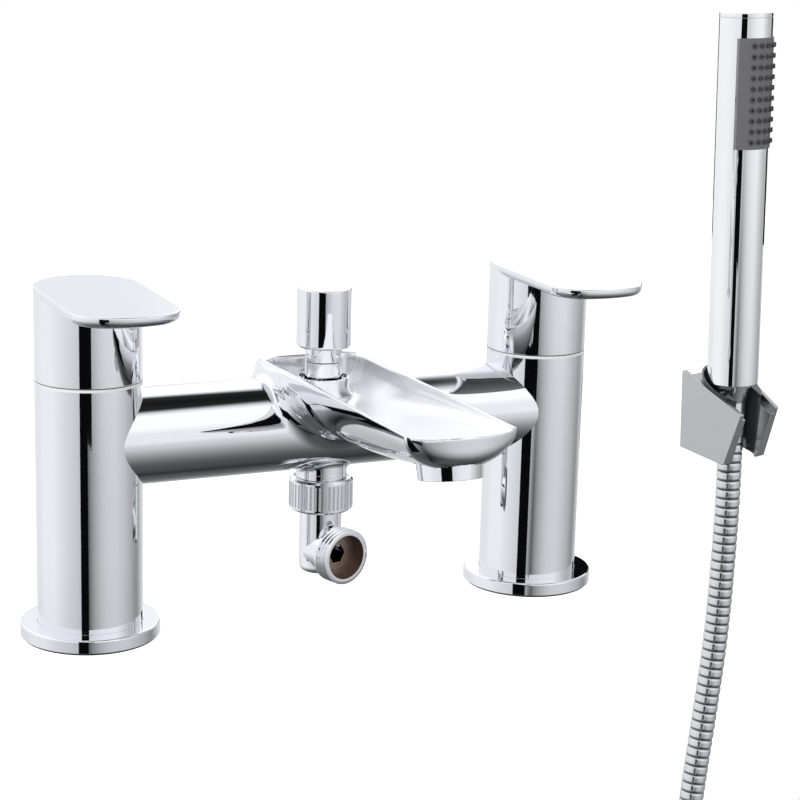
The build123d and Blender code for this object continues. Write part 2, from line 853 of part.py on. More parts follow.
along = Vector(cos(radians(kit_turn)), sin(radians(kit_turn)), 0)
into = Vector(-sin(radians(kit_turn)), cos(radians(kit_turn)), 0)
up = Vector(0, 0, 1)
lean = radians(kit_lean)
kit_up = up * cos(lean) - along * sin(lean)
kit_along = along * cos(lean) + up * sin(lean)
kit_foot = Vector(kit_x, kit_y, kit_lean_height) - kit_up * kit_lean_height
kit = Plane(origin=kit_foot, x_dir=kit_along, z_dir=kit_up)
kit_side = Plane(origin=kit_foot, x_dir=into, z_dir=kit_along)
wall_plane = Plane(origin=(kit_x, kit_y, 0), x_dir=along, z_dir=-into)


def sector(base, outer, inner, half_angle):
    """A slice of a ring, open angle each way from the room's side of the kit's line."""
    reach = outer / cos(radians(half_angle))
    side = reach * sin(radians(half_angle))
    with BuildSketch(base) as piece:
        Circle(outer)
        Circle(inner, mode=Mode.SUBTRACT)
        with BuildLine():
            Polyline((0, 0), (-side, -outer), (side, -outer), close=True)
        make_face(mode=Mode.INTERSECT)
    return piece.sketch


pad_angle = radians(pad_turn)
pad_plane = Plane(origin=kit_foot, x_dir=kit_along * cos(pad_angle) + into * sin(pad_angle), z_dir=kit_up)


def column_plane(angle, radius):
    """An upright plane facing the room, on a round of the kit's line."""
    turn = radians(angle) + pad_angle
    way = kit_along * sin(turn) - into * cos(turn)
    return Plane(origin=kit_foot + way * radius, x_dir=kit_up, z_dir=way)


# Handset

shell_bore = handset_radius - handset_wall
shell_top = handset_top - cap_thickness - cap_seam
pad_high = handset_top - pad_drop
pad_low = pad_high - pad_height
bezel_angle = pad_half_angle + degrees(bezel_width / handset_radius)
window_angle = pad_half_angle + degrees(fit_gap / handset_radius)
with BuildPart() as handset:
    with BuildSketch(kit.offset(handset_foot)):
        Circle(handset_radius)
        Circle(shell_bore, mode=Mode.SUBTRACT)
    extrude(amount=shell_top - handset_foot)
    frame = sector(pad_plane.offset(pad_low), handset_radius + bezel_lift, shell_bore, bezel_angle)
    extrude(frame, amount=pad_height)
    window = sector(pad_plane.offset(pad_low - fit_gap), handset_radius + pad_lift, shell_bore - fit_gap, window_angle)
    extrude(window, amount=pad_height + 2 * fit_gap, mode=Mode.SUBTRACT)
handset.part.label = "handset_tube"
export_step(handset.part, "parts/handset_tube.step")

pad_radius = handset_radius + pad_lift
with BuildPart() as pad:
    extrude(sector(pad_plane.offset(pad_low), pad_radius, shell_bore, pad_half_angle), amount=pad_height)
    for column in range(nozzle_columns):
        angle = (column - (nozzle_columns - 1) / 2) * nozzle_column_angle
        with BuildSketch(column_plane(angle, shell_bore + fit_gap)):
            with Locations(((pad_low + pad_high) / 2, 0)):
                with GridLocations(nozzle_row_pitch, nozzle_row_pitch, nozzle_rows, 1):
                    Circle(nozzle_radius)
        extrude(amount=pad_radius + nozzle_lift - shell_bore)
        with BuildSketch(column_plane(angle, 0)):
            with Locations(((pad_low + pad_high) / 2, 0)):
                with GridLocations(nozzle_row_pitch, nozzle_row_pitch, nozzle_rows, 1):
                    Circle(nozzle_bore)
        extrude(amount=pad_radius + nozzle_lift + overrun, mode=Mode.SUBTRACT)
pad.part.label = "nozzle_pad"
export_step(pad.part, "parts/nozzle_pad.step")

with BuildPart() as cap:
    with BuildSketch(kit.offset(handset_top)):
        Circle(handset_radius)
    extrude(amount=-cap_thickness)
    fillet(cap.faces().sort_by(Axis.Z)[-1].edges(), cap_edge)
    with BuildSketch(kit.offset(handset_top - cap_thickness)):
        Circle(shell_bore - fit_gap)
    extrude(amount=-cap_plug_length)
cap.part.label = "handset_cap"
export_step(cap.part, "parts/handset_cap.step")

tail_top = handset_foot + tail_plug_length
chamber_foot = pad_low - pad_inset
chamber_top = pad_high + pad_inset
with BuildPart() as inner_waterway:
    with BuildSketch(kit.offset(chamber_foot)):
        Circle(shell_bore - 2 * fit_gap)
    extrude(amount=chamber_top - chamber_foot)
    with BuildSketch(kit.offset(tail_top)):
        Circle(inner_tube_radius)
    extrude(amount=chamber_foot - tail_top)
    with BuildSketch(kit.offset(chamber_foot + inner_tube_wall)):
        Circle(shell_bore - 2 * fit_gap - inner_tube_wall)
    extrude(amount=chamber_top - chamber_foot - 2 * inner_tube_wall, mode=Mode.SUBTRACT)
    with BuildSketch(kit.offset(tail_top)):
        Circle(inner_tube_radius - inner_tube_wall)
    extrude(amount=chamber_foot - tail_top + 2 * inner_tube_wall, mode=Mode.SUBTRACT)
    mouth_angle = pad_half_angle - degrees(inner_tube_wall / shell_bore)
    mouth = sector(pad_plane.offset(pad_low), handset_radius, inner_tube_radius, mouth_angle)
    extrude(mouth, amount=pad_height, mode=Mode.SUBTRACT)
inner_waterway.part.label = "handset_waterway"
export_step(inner_waterway.part, "parts/handset_waterway.step")

with BuildPart() as tail:
    with BuildSketch(kit.offset(handset_foot)):
        Circle(shell_bore - fit_gap)
    extrude(amount=tail_plug_length)
    with BuildSketch(kit.offset(handset_foot - tail_stub_length)):
        Circle(tail_stub_radius)
    extrude(amount=tail_stub_length)
    with BuildSketch(kit.offset(handset_foot - tail_stub_length)):
        Circle(tail_bore)
    extrude(amount=tail_stub_length + tail_plug_length, mode=Mode.SUBTRACT)
tail.part.label = "handset_tail"
export_step(tail.part, "parts/handset_tail.step")

# Hose cone nut with its ferrule

cone_top = handset_foot - face_gap
with BuildPart() as cone_nut:
    with BuildSketch(kit.offset(cone_foot)):
        Circle(cone_foot_radius)
    with BuildSketch(kit.offset(cone_top)):
        Circle(cone_radius)
    loft()
    with BuildSketch(kit.offset(ferrule_foot)):
        Circle(cone_foot_radius)
    extrude(amount=cone_foot - ferrule_foot)
    with BuildSketch(kit.offset(cone_top)):
        Circle(tail_stub_radius + run_gap)
    extrude(amount=-tail_stub_length, mode=Mode.SUBTRACT)
    with BuildSketch(kit.offset(ferrule_foot)):
        Circle(hose_bore)
    extrude(amount=cone_top - ferrule_foot, mode=Mode.SUBTRACT)
cone_nut.part.label = "hose_cone_nut"
export_step(cone_nut.part, "parts/hose_cone_nut.step")

# Hose drop: straight runs joined by arcs as large as the runs allow

hose_start = Vector(sin(lean), -cos(lean)) * (kit_lean_height - ferrule_foot) + Vector(0, kit_lean_height)
hose_first = hose_start + Vector(sin(lean), -cos(lean)) * hose_first_run
hose_end = Vector(coil_left, coil_height + 2 * hose_radius)
hose_before = hose_end + Vector(0, hose_last_run)
hose_points = [hose_start, hose_first] + [Vector(*point) for point in hose_route] + [hose_before, hose_end]
hose_runs = [after - before for before, after in zip(hose_points, hose_points[1:])]
hose_radii = []
for before, after in zip(hose_runs, hose_runs[1:]):
    half_turn = radians(before.get_angle(after)) / 2
    hose_radii.append(arc_share * min(before.length, after.length) / tan(half_turn))
print("hose arc radii", [round(radius) for radius in hose_radii])

with BuildLine(wall_plane) as hose_line:
    FilletPolyline([tuple(point) for point in hose_points], radius=hose_radii)
hose_wire = hose_line.wire()
rib_count = int((hose_wire.length - 2 * hose_radius - 2 * hose_radius) / hose_rib_pitch)
rib_start = (hose_wire.length - rib_count * hose_rib_pitch) / 2
rings = [(0, hose_groove_radius), (rib_start - hose_rib_pitch / 4, hose_groove_radius)]
for rib in range(rib_count):
    here = rib_start + rib * hose_rib_pitch
    rings += [(here, hose_groove_radius), (here + rib_slope_share * hose_rib_pitch, hose_radius)]
    rings += [(here + (1 - 2 * rib_slope_share) * hose_rib_pitch, hose_radius)]
    rings += [(here + (1 - rib_slope_share) * hose_rib_pitch, hose_groove_radius)]
rings += [(hose_wire.length, hose_groove_radius)]


def hose_circle(distance, radius):
    """A circle square to the hose at a distance along it."""
    share = distance / hose_wire.length
    with BuildSketch(Plane(origin=hose_wire @ share, x_dir=-into, z_dir=hose_wire % share)) as piece:
        Circle(radius)
    return piece.sketch


with BuildPart() as hose_drop:
    loft([hose_circle(distance, radius) for distance, radius in rings], ruled=True)
    sweep(hose_circle(0, hose_bore), path=hose_wire, mode=Mode.SUBTRACT)
hose_drop.part.label = "hose_drop"
export_step(hose_drop.part, "parts/hose_drop.step")
print("hose drop", len(rings), "rings", round(hose_wire.length, 1), "long", round(hose_drop.part.volume, 1))

# Hose coil: half turns that spiral in, step to the front and spiral out

half_radii = [coil_radius, coil_radius - coil_step / 2, coil_radius - coil_step]
half_radii += [coil_radius - 3 * coil_step / 2, coil_radius - coil_step]
coil_points = [Vector(coil_left, coil_height, 0)]
coil_mids = []
for number, half_radius in enumerate(half_radii):
    below = number % 2 == 0
    start = coil_points[-1]
    front = coil_step if number >= coil_back_turns else 0
    finish = Vector(start.X + 2 * half_radius * (1 if below else -1), coil_height, front)
    radius = (finish - start).length / 2
    coil_mids.append((start + finish) / 2 + Vector(0, -radius if below else radius, 0))
    coil_points.append(finish)
start = coil_points[-1]
finish = Vector(coil_end_left, coil_height, coil_step)
coil_mids.append((start + finish) / 2 + Vector(0, (start - finish).length / 2, 0))
coil_points.append(finish)
coil_finish = coil_points[-1] - Vector(0, 2 * hose_radius, 0)
with BuildLine(wall_plane) as coil_line:
    Line(tuple(hose_end), tuple(coil_points[0]))
    for start, middle, finish in zip(coil_points, coil_mids, coil_points[1:]):
        ThreePointArc(tuple(start), tuple(middle), tuple(finish))
    Line(tuple(coil_points[-1]), tuple(coil_finish))
coil_wire = coil_line.wire()
samples = int(coil_wire.length / hose_radius)
coil_samples = [coil_wire @ (number / samples) for number in range(samples + 1)]
coil_gap = min(
    (coil_samples[one] - coil_samples[other]).length - 2 * hose_radius
    for one in range(samples + 1)
    for other in range(one + coil_samples_apart, samples + 1)
)
with BuildPart() as hose_coil:
    with BuildSketch(Plane(origin=coil_wire @ 0, x_dir=-into, z_dir=coil_wire % 0)):
        Circle(hose_radius)
    sweep(path=coil_wire)
hose_coil.part.label = "hose_coil"
export_step(hose_coil.part, "parts/hose_coil.step")
print("coil long", round(coil_wire.length, 1), "least gap", round(coil_gap, 2))
print("coil volume", hose_coil.part.volume, "section by length", pi * hose_radius**2 * coil_wire.length)
print("whole hose", round(hose_wire.length + coil_wire.length, 1))

tied = []
tie_x = (coil_mids[0].X + coil_mids[len(half_radii) - 1].X) / 2
for number in range(0, len(half_radii), 2):
    drop = sqrt((coil_points[number + 1].X - coil_points[number].X) ** 2 / 4 - (tie_x - coil_mids[number].X) ** 2)
    tied.append((coil_mids[number].Z, coil_height - drop))
tie_plane = Plane(origin=wall_plane.from_local_coords((tie_x, 0, 0)), x_dir=-into, z_dir=-along)
with BuildPart() as tie:
    for reach, mode in ((hose_radius + tie_gap + tie_thickness, Mode.ADD), (hose_radius + tie_gap, Mode.SUBTRACT)):
        with BuildSketch(tie_plane):
            with BuildLine():
                Polyline(*tied, close=True)
            make_face()
            offset(amount=reach, kind=Kind.ARC)
        extrude(amount=tie_width / 2, both=True, mode=mode)
tie.part.label = "hose_tie"
export_step(tie.part, "parts/hose_tie.step")

# Far end of the hose: ferrule, washer and free hexagon nut

end_top = wall_plane.from_local_coords(tuple(coil_finish))
end_plane = Plane(origin=end_top, x_dir=along, z_dir=(0, 0, -1))
with BuildPart() as end_ferrule:
    with BuildSketch(end_plane):
        Circle(end_ferrule_radius)
    extrude(amount=end_ferrule_length)
    with BuildSketch(end_plane.offset(end_ferrule_length)):
        Circle(end_collar_radius)
    extrude(amount=end_collar_length)
    with BuildSketch(end_plane):
        Circle(hose_bore)
    extrude(amount=end_ferrule_length + end_collar_length, mode=Mode.SUBTRACT)
end_ferrule.part.label = "hose_end_ferrule"
export_step(end_ferrule.part, "parts/hose_end_ferrule.step")

end_washer = ring(
    end_plane.offset(end_ferrule_length + end_collar_length), end_collar_radius, hose_bore, hose_washer_thickness
)
end_washer.part.label = "hose_washer"
export_step(end_washer.part, "parts/hose_washer.step")

hex_top = end_ferrule_length - face_gap - hex_lip
with BuildPart() as hex_nut:
    with BuildSketch(end_plane.offset(hex_top)):
        RegularPolygon(hex_flats / 2, 6, major_radius=False)
    extrude(amount=hex_length)
    chamfer(hex_nut.edges().filter_by(Axis.Z, reverse=True), hex_edge)
    with BuildSketch(end_plane.offset(hex_top)):
        Circle(end_ferrule_radius + face_gap)
    extrude(amount=hex_length, mode=Mode.SUBTRACT)
    with BuildSketch(end_plane.offset(hex_top + hex_lip)):
        Circle(hex_thread_radius)
    extrude(amount=hex_length, mode=Mode.SUBTRACT)
    with BuildSketch(end_plane.offset(hex_top + hex_lip)):
        Circle(hex_thread_radius + hex_relief)
    extrude(amount=face_gap + end_collar_length + hose_washer_thickness, mode=Mode.SUBTRACT)
hex_nut.part.label = "hose_nut"
export_step(hex_nut.part, "parts/hose_nut.step")

# Wall bracket: two cheeks on a back plate round a cup that is open to the room

top_slope = (cheek_top_back - cheek_top_front) / (wall_distance + cheek_front)
foot_slope = (cheek_foot_back - cheek_foot_front) / (wall_distance + cheek_front_foot)
cup_reach = 2 * wall_distance
cup_top = cheek_top_front + top_slope * (cheek_front + cup_reach)
cup_top_radius = handset_radius + cup_bore_gap + cup_wall
cup_slope = (cup_top_radius - cup_foot_radius) / cheek_top_back
cone_slope = (cone_radius - cone_foot_radius) / (cone_top - cone_foot)
funnel_radius = cone_foot_radius + cone_slope * (cup_ledge - cone_foot) + cup_funnel_gap
inner_back = cheek_half_back - cheek_thickness
inner_front = cheek_half_front - cheek_thickness
well_back = cheek_top_back - cheek_stand + top_slope * cheek_front
well_front = cheek_top_front - cheek_stand - top_slope * cheek_front

with BuildPart() as well:
    with BuildSketch(kit_side):
        with BuildLine():
            Polyline(
                (wall_distance + cheek_front, well_back),
                (-2 * cheek_front, well_front),
                (-2 * cheek_front, cup_top),
                (wall_distance + cheek_front, cup_top),
                close=True,
            )
        make_face()
    extrude(amount=cheek_half_back, both=True)
    with BuildSketch(kit):
        with BuildLine():
            Polyline(
                (inner_back, wall_distance),
                (inner_front, -cheek_front),
                (-inner_front, -cheek_front),
                (-inner_back, wall_distance),
                close=True,
            )
        make_face()
    extrude(amount=cup_top, mode=Mode.INTERSECT)

with BuildPart() as bracket:
    with BuildSketch(kit_side):
        with BuildLine():
            Polyline(
                (wall_distance, cheek_top_back),
                (-cheek_front, cheek_top_front),
                (-cheek_front_foot, cheek_foot_front),
                (wall_distance, cheek_foot_back),
                close=True,
            )
        cheek = make_face()
        fillet(cheek.vertices().group_by(Axis.Z)[0], cheek_corner)
    extrude(amount=cheek_half_back, both=True)
    with BuildSketch(kit):
        with BuildLine():
            Polyline(
                (cheek_half_back, wall_distance),
                (cheek_half_front, -cheek_front),
                (-cheek_half_front, -cheek_front),
                (-cheek_half_back, wall_distance),
                close=True,
            )
        make_face()
    extrude(amount=cheek_top_back + overrun, mode=Mode.INTERSECT)
    add(well.part, mode=Mode.SUBTRACT)
    with BuildSketch(kit.offset(-overrun)):
        Circle(cup_foot_radius - cup_slope * overrun + fit_gap)
    with BuildSketch(kit.offset(cup_top)):
        Circle(cup_foot_radius + cup_slope * cup_top + fit_gap)
    loft(mode=Mode.SUBTRACT)
    with BuildSketch(kit.offset(-overrun)):
        Rectangle(slot_width, 2 * cheek_front, align=(Align.CENTER, Align.MAX))
    extrude(amount=cup_top + overrun, mode=Mode.SUBTRACT)
    for height in (screw_low, screw_high):
        seat = cup_foot_radius + cup_slope * (height + screw_head_radius) + screw_sink
        with BuildSketch(Plane(origin=kit_foot + kit_up * height + into * seat, x_dir=along, z_dir=into)):
            Circle(screw_radius + fit_gap)
        extrude(amount=wall_distance, mode=Mode.SUBTRACT)
        with BuildSketch(Plane(origin=kit_foot + kit_up * height, x_dir=along, z_dir=into)):
            Circle(screw_head_radius + fit_gap)
        extrude(amount=seat + screw_head_height, mode=Mode.SUBTRACT)
bracket.part.label = "bracket_body"
export_step(bracket.part, "parts/bracket_body.step")

with BuildPart() as cup:
    with BuildSketch(kit.offset(-overrun)):
        Circle(cup_foot_radius - cup_slope * overrun)
    with BuildSketch(kit.offset(cup_top)):
        Circle(cup_foot_radius + cup_slope * cup_top)
    loft()
    with BuildSketch(kit_side):
        with BuildLine():
            Polyline(
                (cup_reach, cheek_top_back + cup_rim_rise + top_slope * (cup_reach - wall_distance)),
                (-cup_reach, cheek_top_front + cup_rim_rise - top_slope * (cup_reach - cheek_front)),
                (-cup_reach, cheek_foot_front + cup_foot_lift - foot_slope * (cup_reach - cheek_front_foot)),
                (cup_reach, cheek_foot_back + cup_foot_lift + foot_slope * (cup_reach - wall_distance)),
                close=True,
            )
        make_face()
    extrude(amount=cup_reach, both=True, mode=Mode.INTERSECT)
    with BuildSketch(kit.offset(cup_ledge)):
        Circle(handset_radius + cup_bore_gap)
    extrude(amount=cup_top, mode=Mode.SUBTRACT)
    with BuildSketch(kit.offset(cone_foot)):
        Circle(hose_radius + cup_hose_gap)
    with BuildSketch(kit.offset(cup_ledge)):
        Circle(funnel_radius)
    loft(mode=Mode.SUBTRACT)
    with BuildSketch(kit.offset(-overrun)):
        Circle(hose_radius + cup_hose_gap)
    extrude(amount=cone_foot + overrun, mode=Mode.SUBTRACT)
    with BuildSketch(kit.offset(-overrun)):
        Rectangle(slot_width, 2 * cheek_front, align=(Align.CENTER, Align.MAX))
    extrude(amount=cup_top + overrun, mode=Mode.SUBTRACT)
cup.part.label = "bracket_cup"
export_step(cup.part, "parts/bracket_cup.step")

with BuildPart() as screws:
    for height in (screw_low, screw_high):
        seat = cup_foot_radius + cup_slope * (height + screw_head_radius) + screw_sink
        with BuildSketch(Plane(origin=kit_foot + kit_up * height + into * seat, x_dir=along, z_dir=into)):
            Circle(screw_head_radius)
        extrude(amount=screw_head_height)
        with BuildSketch(Plane(origin=kit_foot + kit_up * height + into * seat, x_dir=along, z_dir=into)):
            Circle(screw_radius)
        extrude(amount=screw_length)
screws.part.label = "bracket_screws"
export_step(screws.part, "parts/bracket_screws.step")
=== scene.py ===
import json
from math import cos, pi, radians, sin

import bpy
import numpy as np
from mathutils import Matrix, Vector

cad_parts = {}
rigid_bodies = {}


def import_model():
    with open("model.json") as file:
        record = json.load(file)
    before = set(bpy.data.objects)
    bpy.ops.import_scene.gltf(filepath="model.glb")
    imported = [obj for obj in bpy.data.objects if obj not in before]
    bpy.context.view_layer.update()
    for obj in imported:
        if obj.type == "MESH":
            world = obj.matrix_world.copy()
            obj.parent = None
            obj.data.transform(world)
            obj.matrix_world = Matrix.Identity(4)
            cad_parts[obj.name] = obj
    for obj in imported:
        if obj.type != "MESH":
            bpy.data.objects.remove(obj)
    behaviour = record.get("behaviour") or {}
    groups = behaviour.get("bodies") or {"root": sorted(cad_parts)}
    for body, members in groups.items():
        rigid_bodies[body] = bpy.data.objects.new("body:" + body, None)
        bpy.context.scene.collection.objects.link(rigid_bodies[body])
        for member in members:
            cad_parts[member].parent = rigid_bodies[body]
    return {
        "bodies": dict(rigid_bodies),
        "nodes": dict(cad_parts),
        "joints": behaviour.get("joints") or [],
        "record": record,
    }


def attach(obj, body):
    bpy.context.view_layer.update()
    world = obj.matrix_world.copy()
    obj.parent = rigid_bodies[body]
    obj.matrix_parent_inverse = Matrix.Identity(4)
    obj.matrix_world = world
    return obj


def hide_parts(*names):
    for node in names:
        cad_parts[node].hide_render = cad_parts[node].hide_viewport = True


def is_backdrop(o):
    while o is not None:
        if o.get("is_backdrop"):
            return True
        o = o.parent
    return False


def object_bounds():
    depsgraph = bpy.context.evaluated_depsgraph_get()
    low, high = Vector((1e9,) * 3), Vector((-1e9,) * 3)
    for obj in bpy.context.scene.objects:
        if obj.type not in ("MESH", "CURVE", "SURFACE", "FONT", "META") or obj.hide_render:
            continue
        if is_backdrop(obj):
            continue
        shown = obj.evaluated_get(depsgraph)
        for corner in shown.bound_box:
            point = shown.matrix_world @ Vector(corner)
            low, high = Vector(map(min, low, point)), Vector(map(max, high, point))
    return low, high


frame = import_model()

bl_info = {
    "name": "Bath shower mixer",
    "version": (1, 0, 0),
    "blender": (4, 5, 0),
    "location": "View3D > Sidebar > Mixer",
    "description": "Dresses the packed bath shower mixer with its finishes, its hose and a studio",
    "category": "Object",
}

NODES = frame["nodes"]
MM = 0.001

# The shower kit hangs on a wall turned from the bar's line, and leans a little in that wall
KIT_PLACE = Vector((0.271, 0.1286, 0.0))
KIT_TURN = radians(12.6)
KIT_LEAN = radians(2.2)
KIT_LEAN_HEIGHT = 0.120
ALONG = Vector((cos(KIT_TURN), sin(KIT_TURN), 0))
INTO = Vector((-sin(KIT_TURN), cos(KIT_TURN), 0))
UP = Vector((0, 0, 1))
KIT_UP = UP * cos(KIT_LEAN) - ALONG * sin(KIT_LEAN)
KIT_ALONG = ALONG * cos(KIT_LEAN) + UP * sin(KIT_LEAN)
KIT_FOOT = KIT_PLACE + UP * KIT_LEAN_HEIGHT - KIT_UP * KIT_LEAN_HEIGHT

# The nodes that take each finish
CHROME_NODES = (
    "left_base_flange", "right_base_flange", "left_pillar", "right_pillar", "mixer_body",
    "left_handle", "right_handle", "diverter_knob", "diverter_bush", "outlet_nipple",
    "aerator_housing", "hose_cone_nut", "hose_nut",
)
RUBBER_NODES = (
    "left_base_seal", "right_base_seal", "left_cartridge_seal", "right_cartridge_seal",
    "union_washer", "aerator_washer", "hose_washer", "diverter_seal", "hose_tie",
)
STEEL_NODES = (
    "left_grub_screw", "right_grub_screw", "diverter_spring", "bracket_screws", "hose_end_ferrule",
)
BRASS_NODES = (
    "left_cartridge_sleeve", "right_cartridge_sleeve", "left_gland_nut", "right_gland_nut",
    "left_spindle", "right_spindle", "diverter_plunger", "handset_tail",
)
CERAMIC_NODES = ("left_fixed_disc", "right_fixed_disc", "left_moving_disc", "right_moving_disc")


# Property groups


class MixerFinishSettings(bpy.types.PropertyGroup):
    """Colours and gloss of the plated and moulded parts."""

    chrome_colour: bpy.props.FloatVectorProperty(
        name="Chrome", description="Colour of the mixer's chrome plate", subtype="COLOR",
        size=3, min=0, max=1, default=(0.86, 0.87, 0.89),
    )
    handset_colour: bpy.props.FloatVectorProperty(
        name="Handset chrome", description="Colour of the handset's chrome plate", subtype="COLOR",
        size=3, min=0, max=1, default=(0.93, 0.93, 0.93),
    )
    bracket_colour: bpy.props.FloatVectorProperty(
        name="Bracket chrome", description="Colour of the wall bracket's cheeks", subtype="COLOR",
        size=3, min=0, max=1, default=(0.57, 0.57, 0.57),
    )
    hose_colour: bpy.props.FloatVectorProperty(
        name="Hose steel", description="Colour of the spiral steel of the hose", subtype="COLOR",
        size=3, min=0, max=1, default=(0.78, 0.78, 0.79),
    )
    silicone_colour: bpy.props.FloatVectorProperty(
        name="Nozzle pad", description="Colour of the grey silicone of the nozzle pad", subtype="COLOR",
        size=3, min=0, max=1, default=(0.15, 0.15, 0.155),
    )
    nozzle_colour: bpy.props.FloatVectorProperty(
        name="Nozzle tips", description="Colour of the tips of the nozzles", subtype="COLOR",
        size=3, min=0, max=1, default=(0.05, 0.05, 0.052),
    )
    mouth_colour: bpy.props.FloatVectorProperty(
        name="Outlet mouth", description="Colour of the bare brass inside the shower outlet", subtype="COLOR",
        size=3, min=0, max=1, default=(0.34, 0.26, 0.22),
    )
    chrome_haze: bpy.props.FloatProperty(
        name="Chrome haze", description="Roughness of clean chrome plate", min=0, max=0.4, default=0.025,
    )
    edge_radius: bpy.props.FloatProperty(
        name="Plated edge", description="Radius that polishing leaves on plated edges",
        subtype="DISTANCE", unit="LENGTH", min=0, max=0.002, default=0.00035,
    )


class MixerHoseSettings(bpy.types.PropertyGroup):
    """Sizes of the ribbed shower hose."""

    radius: bpy.props.FloatProperty(
        name="Radius", description="Outer radius of the hose over its ribs",
        subtype="DISTANCE", unit="LENGTH", min=0.003, max=0.02, default=0.00625,
    )
    groove: bpy.props.FloatProperty(
        name="Groove", description="How deep the grooves between the ribs are",
        subtype="DISTANCE", unit="LENGTH", min=0, max=0.002, default=0.00065,
    )
    rib_pitch: bpy.props.FloatProperty(
        name="Rib pitch", description="Distance from one rib to the next",
        subtype="DISTANCE", unit="LENGTH", min=0.001, max=0.02, default=0.00466,
    )
    coil_radius: bpy.props.FloatProperty(
        name="Coil radius", description="Radius of the widest turn of the stored hose",
        subtype="DISTANCE", unit="LENGTH", min=0.03, max=0.2, default=0.071,
    )
    coil_step: bpy.props.FloatProperty(
        name="Coil step", description="Distance between turns that lie side by side",
        subtype="DISTANCE", unit="LENGTH", min=0.005, max=0.05, default=0.0133,
    )
    length: bpy.props.FloatProperty(
        name="Length", description="Length of the whole hose",
        subtype="DISTANCE", unit="LENGTH", min=0.5, max=3, default=1.508,
    )


class MixerBodySettings(bpy.types.PropertyGroup):
    """Shape of the cast body: the bar, the hump and the scooped spout, in millimetres."""

    cell: bpy.props.FloatProperty(
        name="Cell", description="Grid size of the cast surface", unit="NONE", min=0.5, max=4, default=0.7,
    )
    rim_height: bpy.props.FloatProperty(
        name="Rim height", description="Height of the spout's rim over the deck", min=80, max=110, default=94.8,
    )
    half_width: bpy.props.FloatProperty(
        name="Half width", description="Half of the spout's width", min=15, max=30, default=20.5,
    )
    reach: bpy.props.FloatProperty(
        name="Reach", description="How far the lip stands before the bar's axis", min=80, max=160,
        default=119.5,
    )
    blend: bpy.props.FloatProperty(
        name="Blend", description="Radius of the hollow blend between the hump and the bar", min=1, max=15,
        default=7.5,
    )
    rim_front: bpy.props.FloatProperty(
        name="Rim at the front", description="Width of the rim beside the lip", min=0.5, max=4, default=1.2,
    )
    rim_back: bpy.props.FloatProperty(
        name="Rim at the back", description="Width of the rim round the diverter", min=0.5, max=8, default=3.6,
    )


class MixerStudioSettings(bpy.types.PropertyGroup):
    """Camera, floor and light."""

    camera_place: bpy.props.FloatVectorProperty(
        name="Camera", description="Place of the camera", subtype="XYZ", unit="LENGTH",
        size=3, default=(-0.29532, -0.68365, 0.25459),
    )
    camera_right: bpy.props.FloatVectorProperty(
        name="Camera right", description="Direction to the right of the picture", subtype="DIRECTION",
        size=3, default=(0.9042, -0.4261, 0.0265),
    )
    camera_down: bpy.props.FloatVectorProperty(
        name="Camera down", description="Direction down the picture", subtype="DIRECTION",
        size=3, default=(-0.0737, -0.2169, -0.9734),
    )
    lens: bpy.props.FloatProperty(
        name="Lens", description="Focal length", subtype="DISTANCE_CAMERA", min=20, max=300, default=92.17,
    )
    floor_drop: bpy.props.FloatProperty(
        name="Floor", description="How far the floor lies under the lowest point of the hose",
        subtype="DISTANCE", unit="LENGTH", min=0, max=0.5, default=0.004,
    )
    floor_reach: bpy.props.FloatProperty(
        name="Floor reach", description="Radius of the round floor",
        subtype="DISTANCE", unit="LENGTH", min=0.5, max=10, default=4.0,
    )
    fill_level: bpy.props.FloatProperty(
        name="Fill", description="Level of the even light on matt surfaces", min=0, max=3, default=0.75,
    )
    gloss_level: bpy.props.FloatProperty(
        name="Gloss", description="Level of the light that reflections see", min=0, max=3, default=1.5,
    )
    lamp_power: bpy.props.FloatProperty(
        name="Lamp", description="Power of the soft lamp", subtype="POWER", unit="POWER",
        min=0, max=500, default=9.0,
    )


# Mesh helpers


def grid_faces(rows, columns, wrap):
    """Quads of a grid of rows by columns, joined round where wrap is true."""
    last = columns if wrap else columns - 1
    row, column = np.meshgrid(np.arange(rows - 1), np.arange(last), indexing="ij")
    after = (column + 1) % columns
    here, above = row * columns, (row + 1) * columns
    return np.stack([here + column, here + after, above + after, above + column], axis=-1).reshape(-1, 4)


def new_piece(name, points, faces, body):
    """A smooth shaded mesh object of these points and faces, riding on a CAD body."""
    mesh = bpy.data.meshes.new(name)
    mesh.from_pydata(points.tolist(), [], faces.tolist() if hasattr(faces, "tolist") else faces)
    mesh.validate()
    mesh.shade_smooth()
    piece = bpy.data.objects.new(name, mesh)
    bpy.context.scene.collection.objects.link(piece)
    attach(piece, body)
    return piece


def wall_point(sideways, height, front):
    """A point given in the wall's plane, in metres: sideways, height and distance to the room."""
    return KIT_PLACE + ALONG * sideways + UP * height - INTO * front


def round_join(one, other, radius):
    """Distance field of two solids joined with a hollow blend of this radius."""
    corner = np.hypot(np.maximum(radius - one, 0), np.maximum(radius - other, 0))
    return np.maximum(radius, np.minimum(one, other)) - corner


def round_cut(one, other, radius):
    """Distance field of what two solids share, its edge rounded to this radius."""
    corner = np.hypot(np.maximum(radius + one, 0), np.maximum(radius + other, 0))
    return np.minimum(-radius, np.maximum(one, other)) + corner


def soft_step(value, start, end):
    """Rises smoothly from 0 at the start to 1 at the end."""
    share = np.clip((value - start) / (end - start), 0, 1)
    return share * share * (3 - 2 * share)


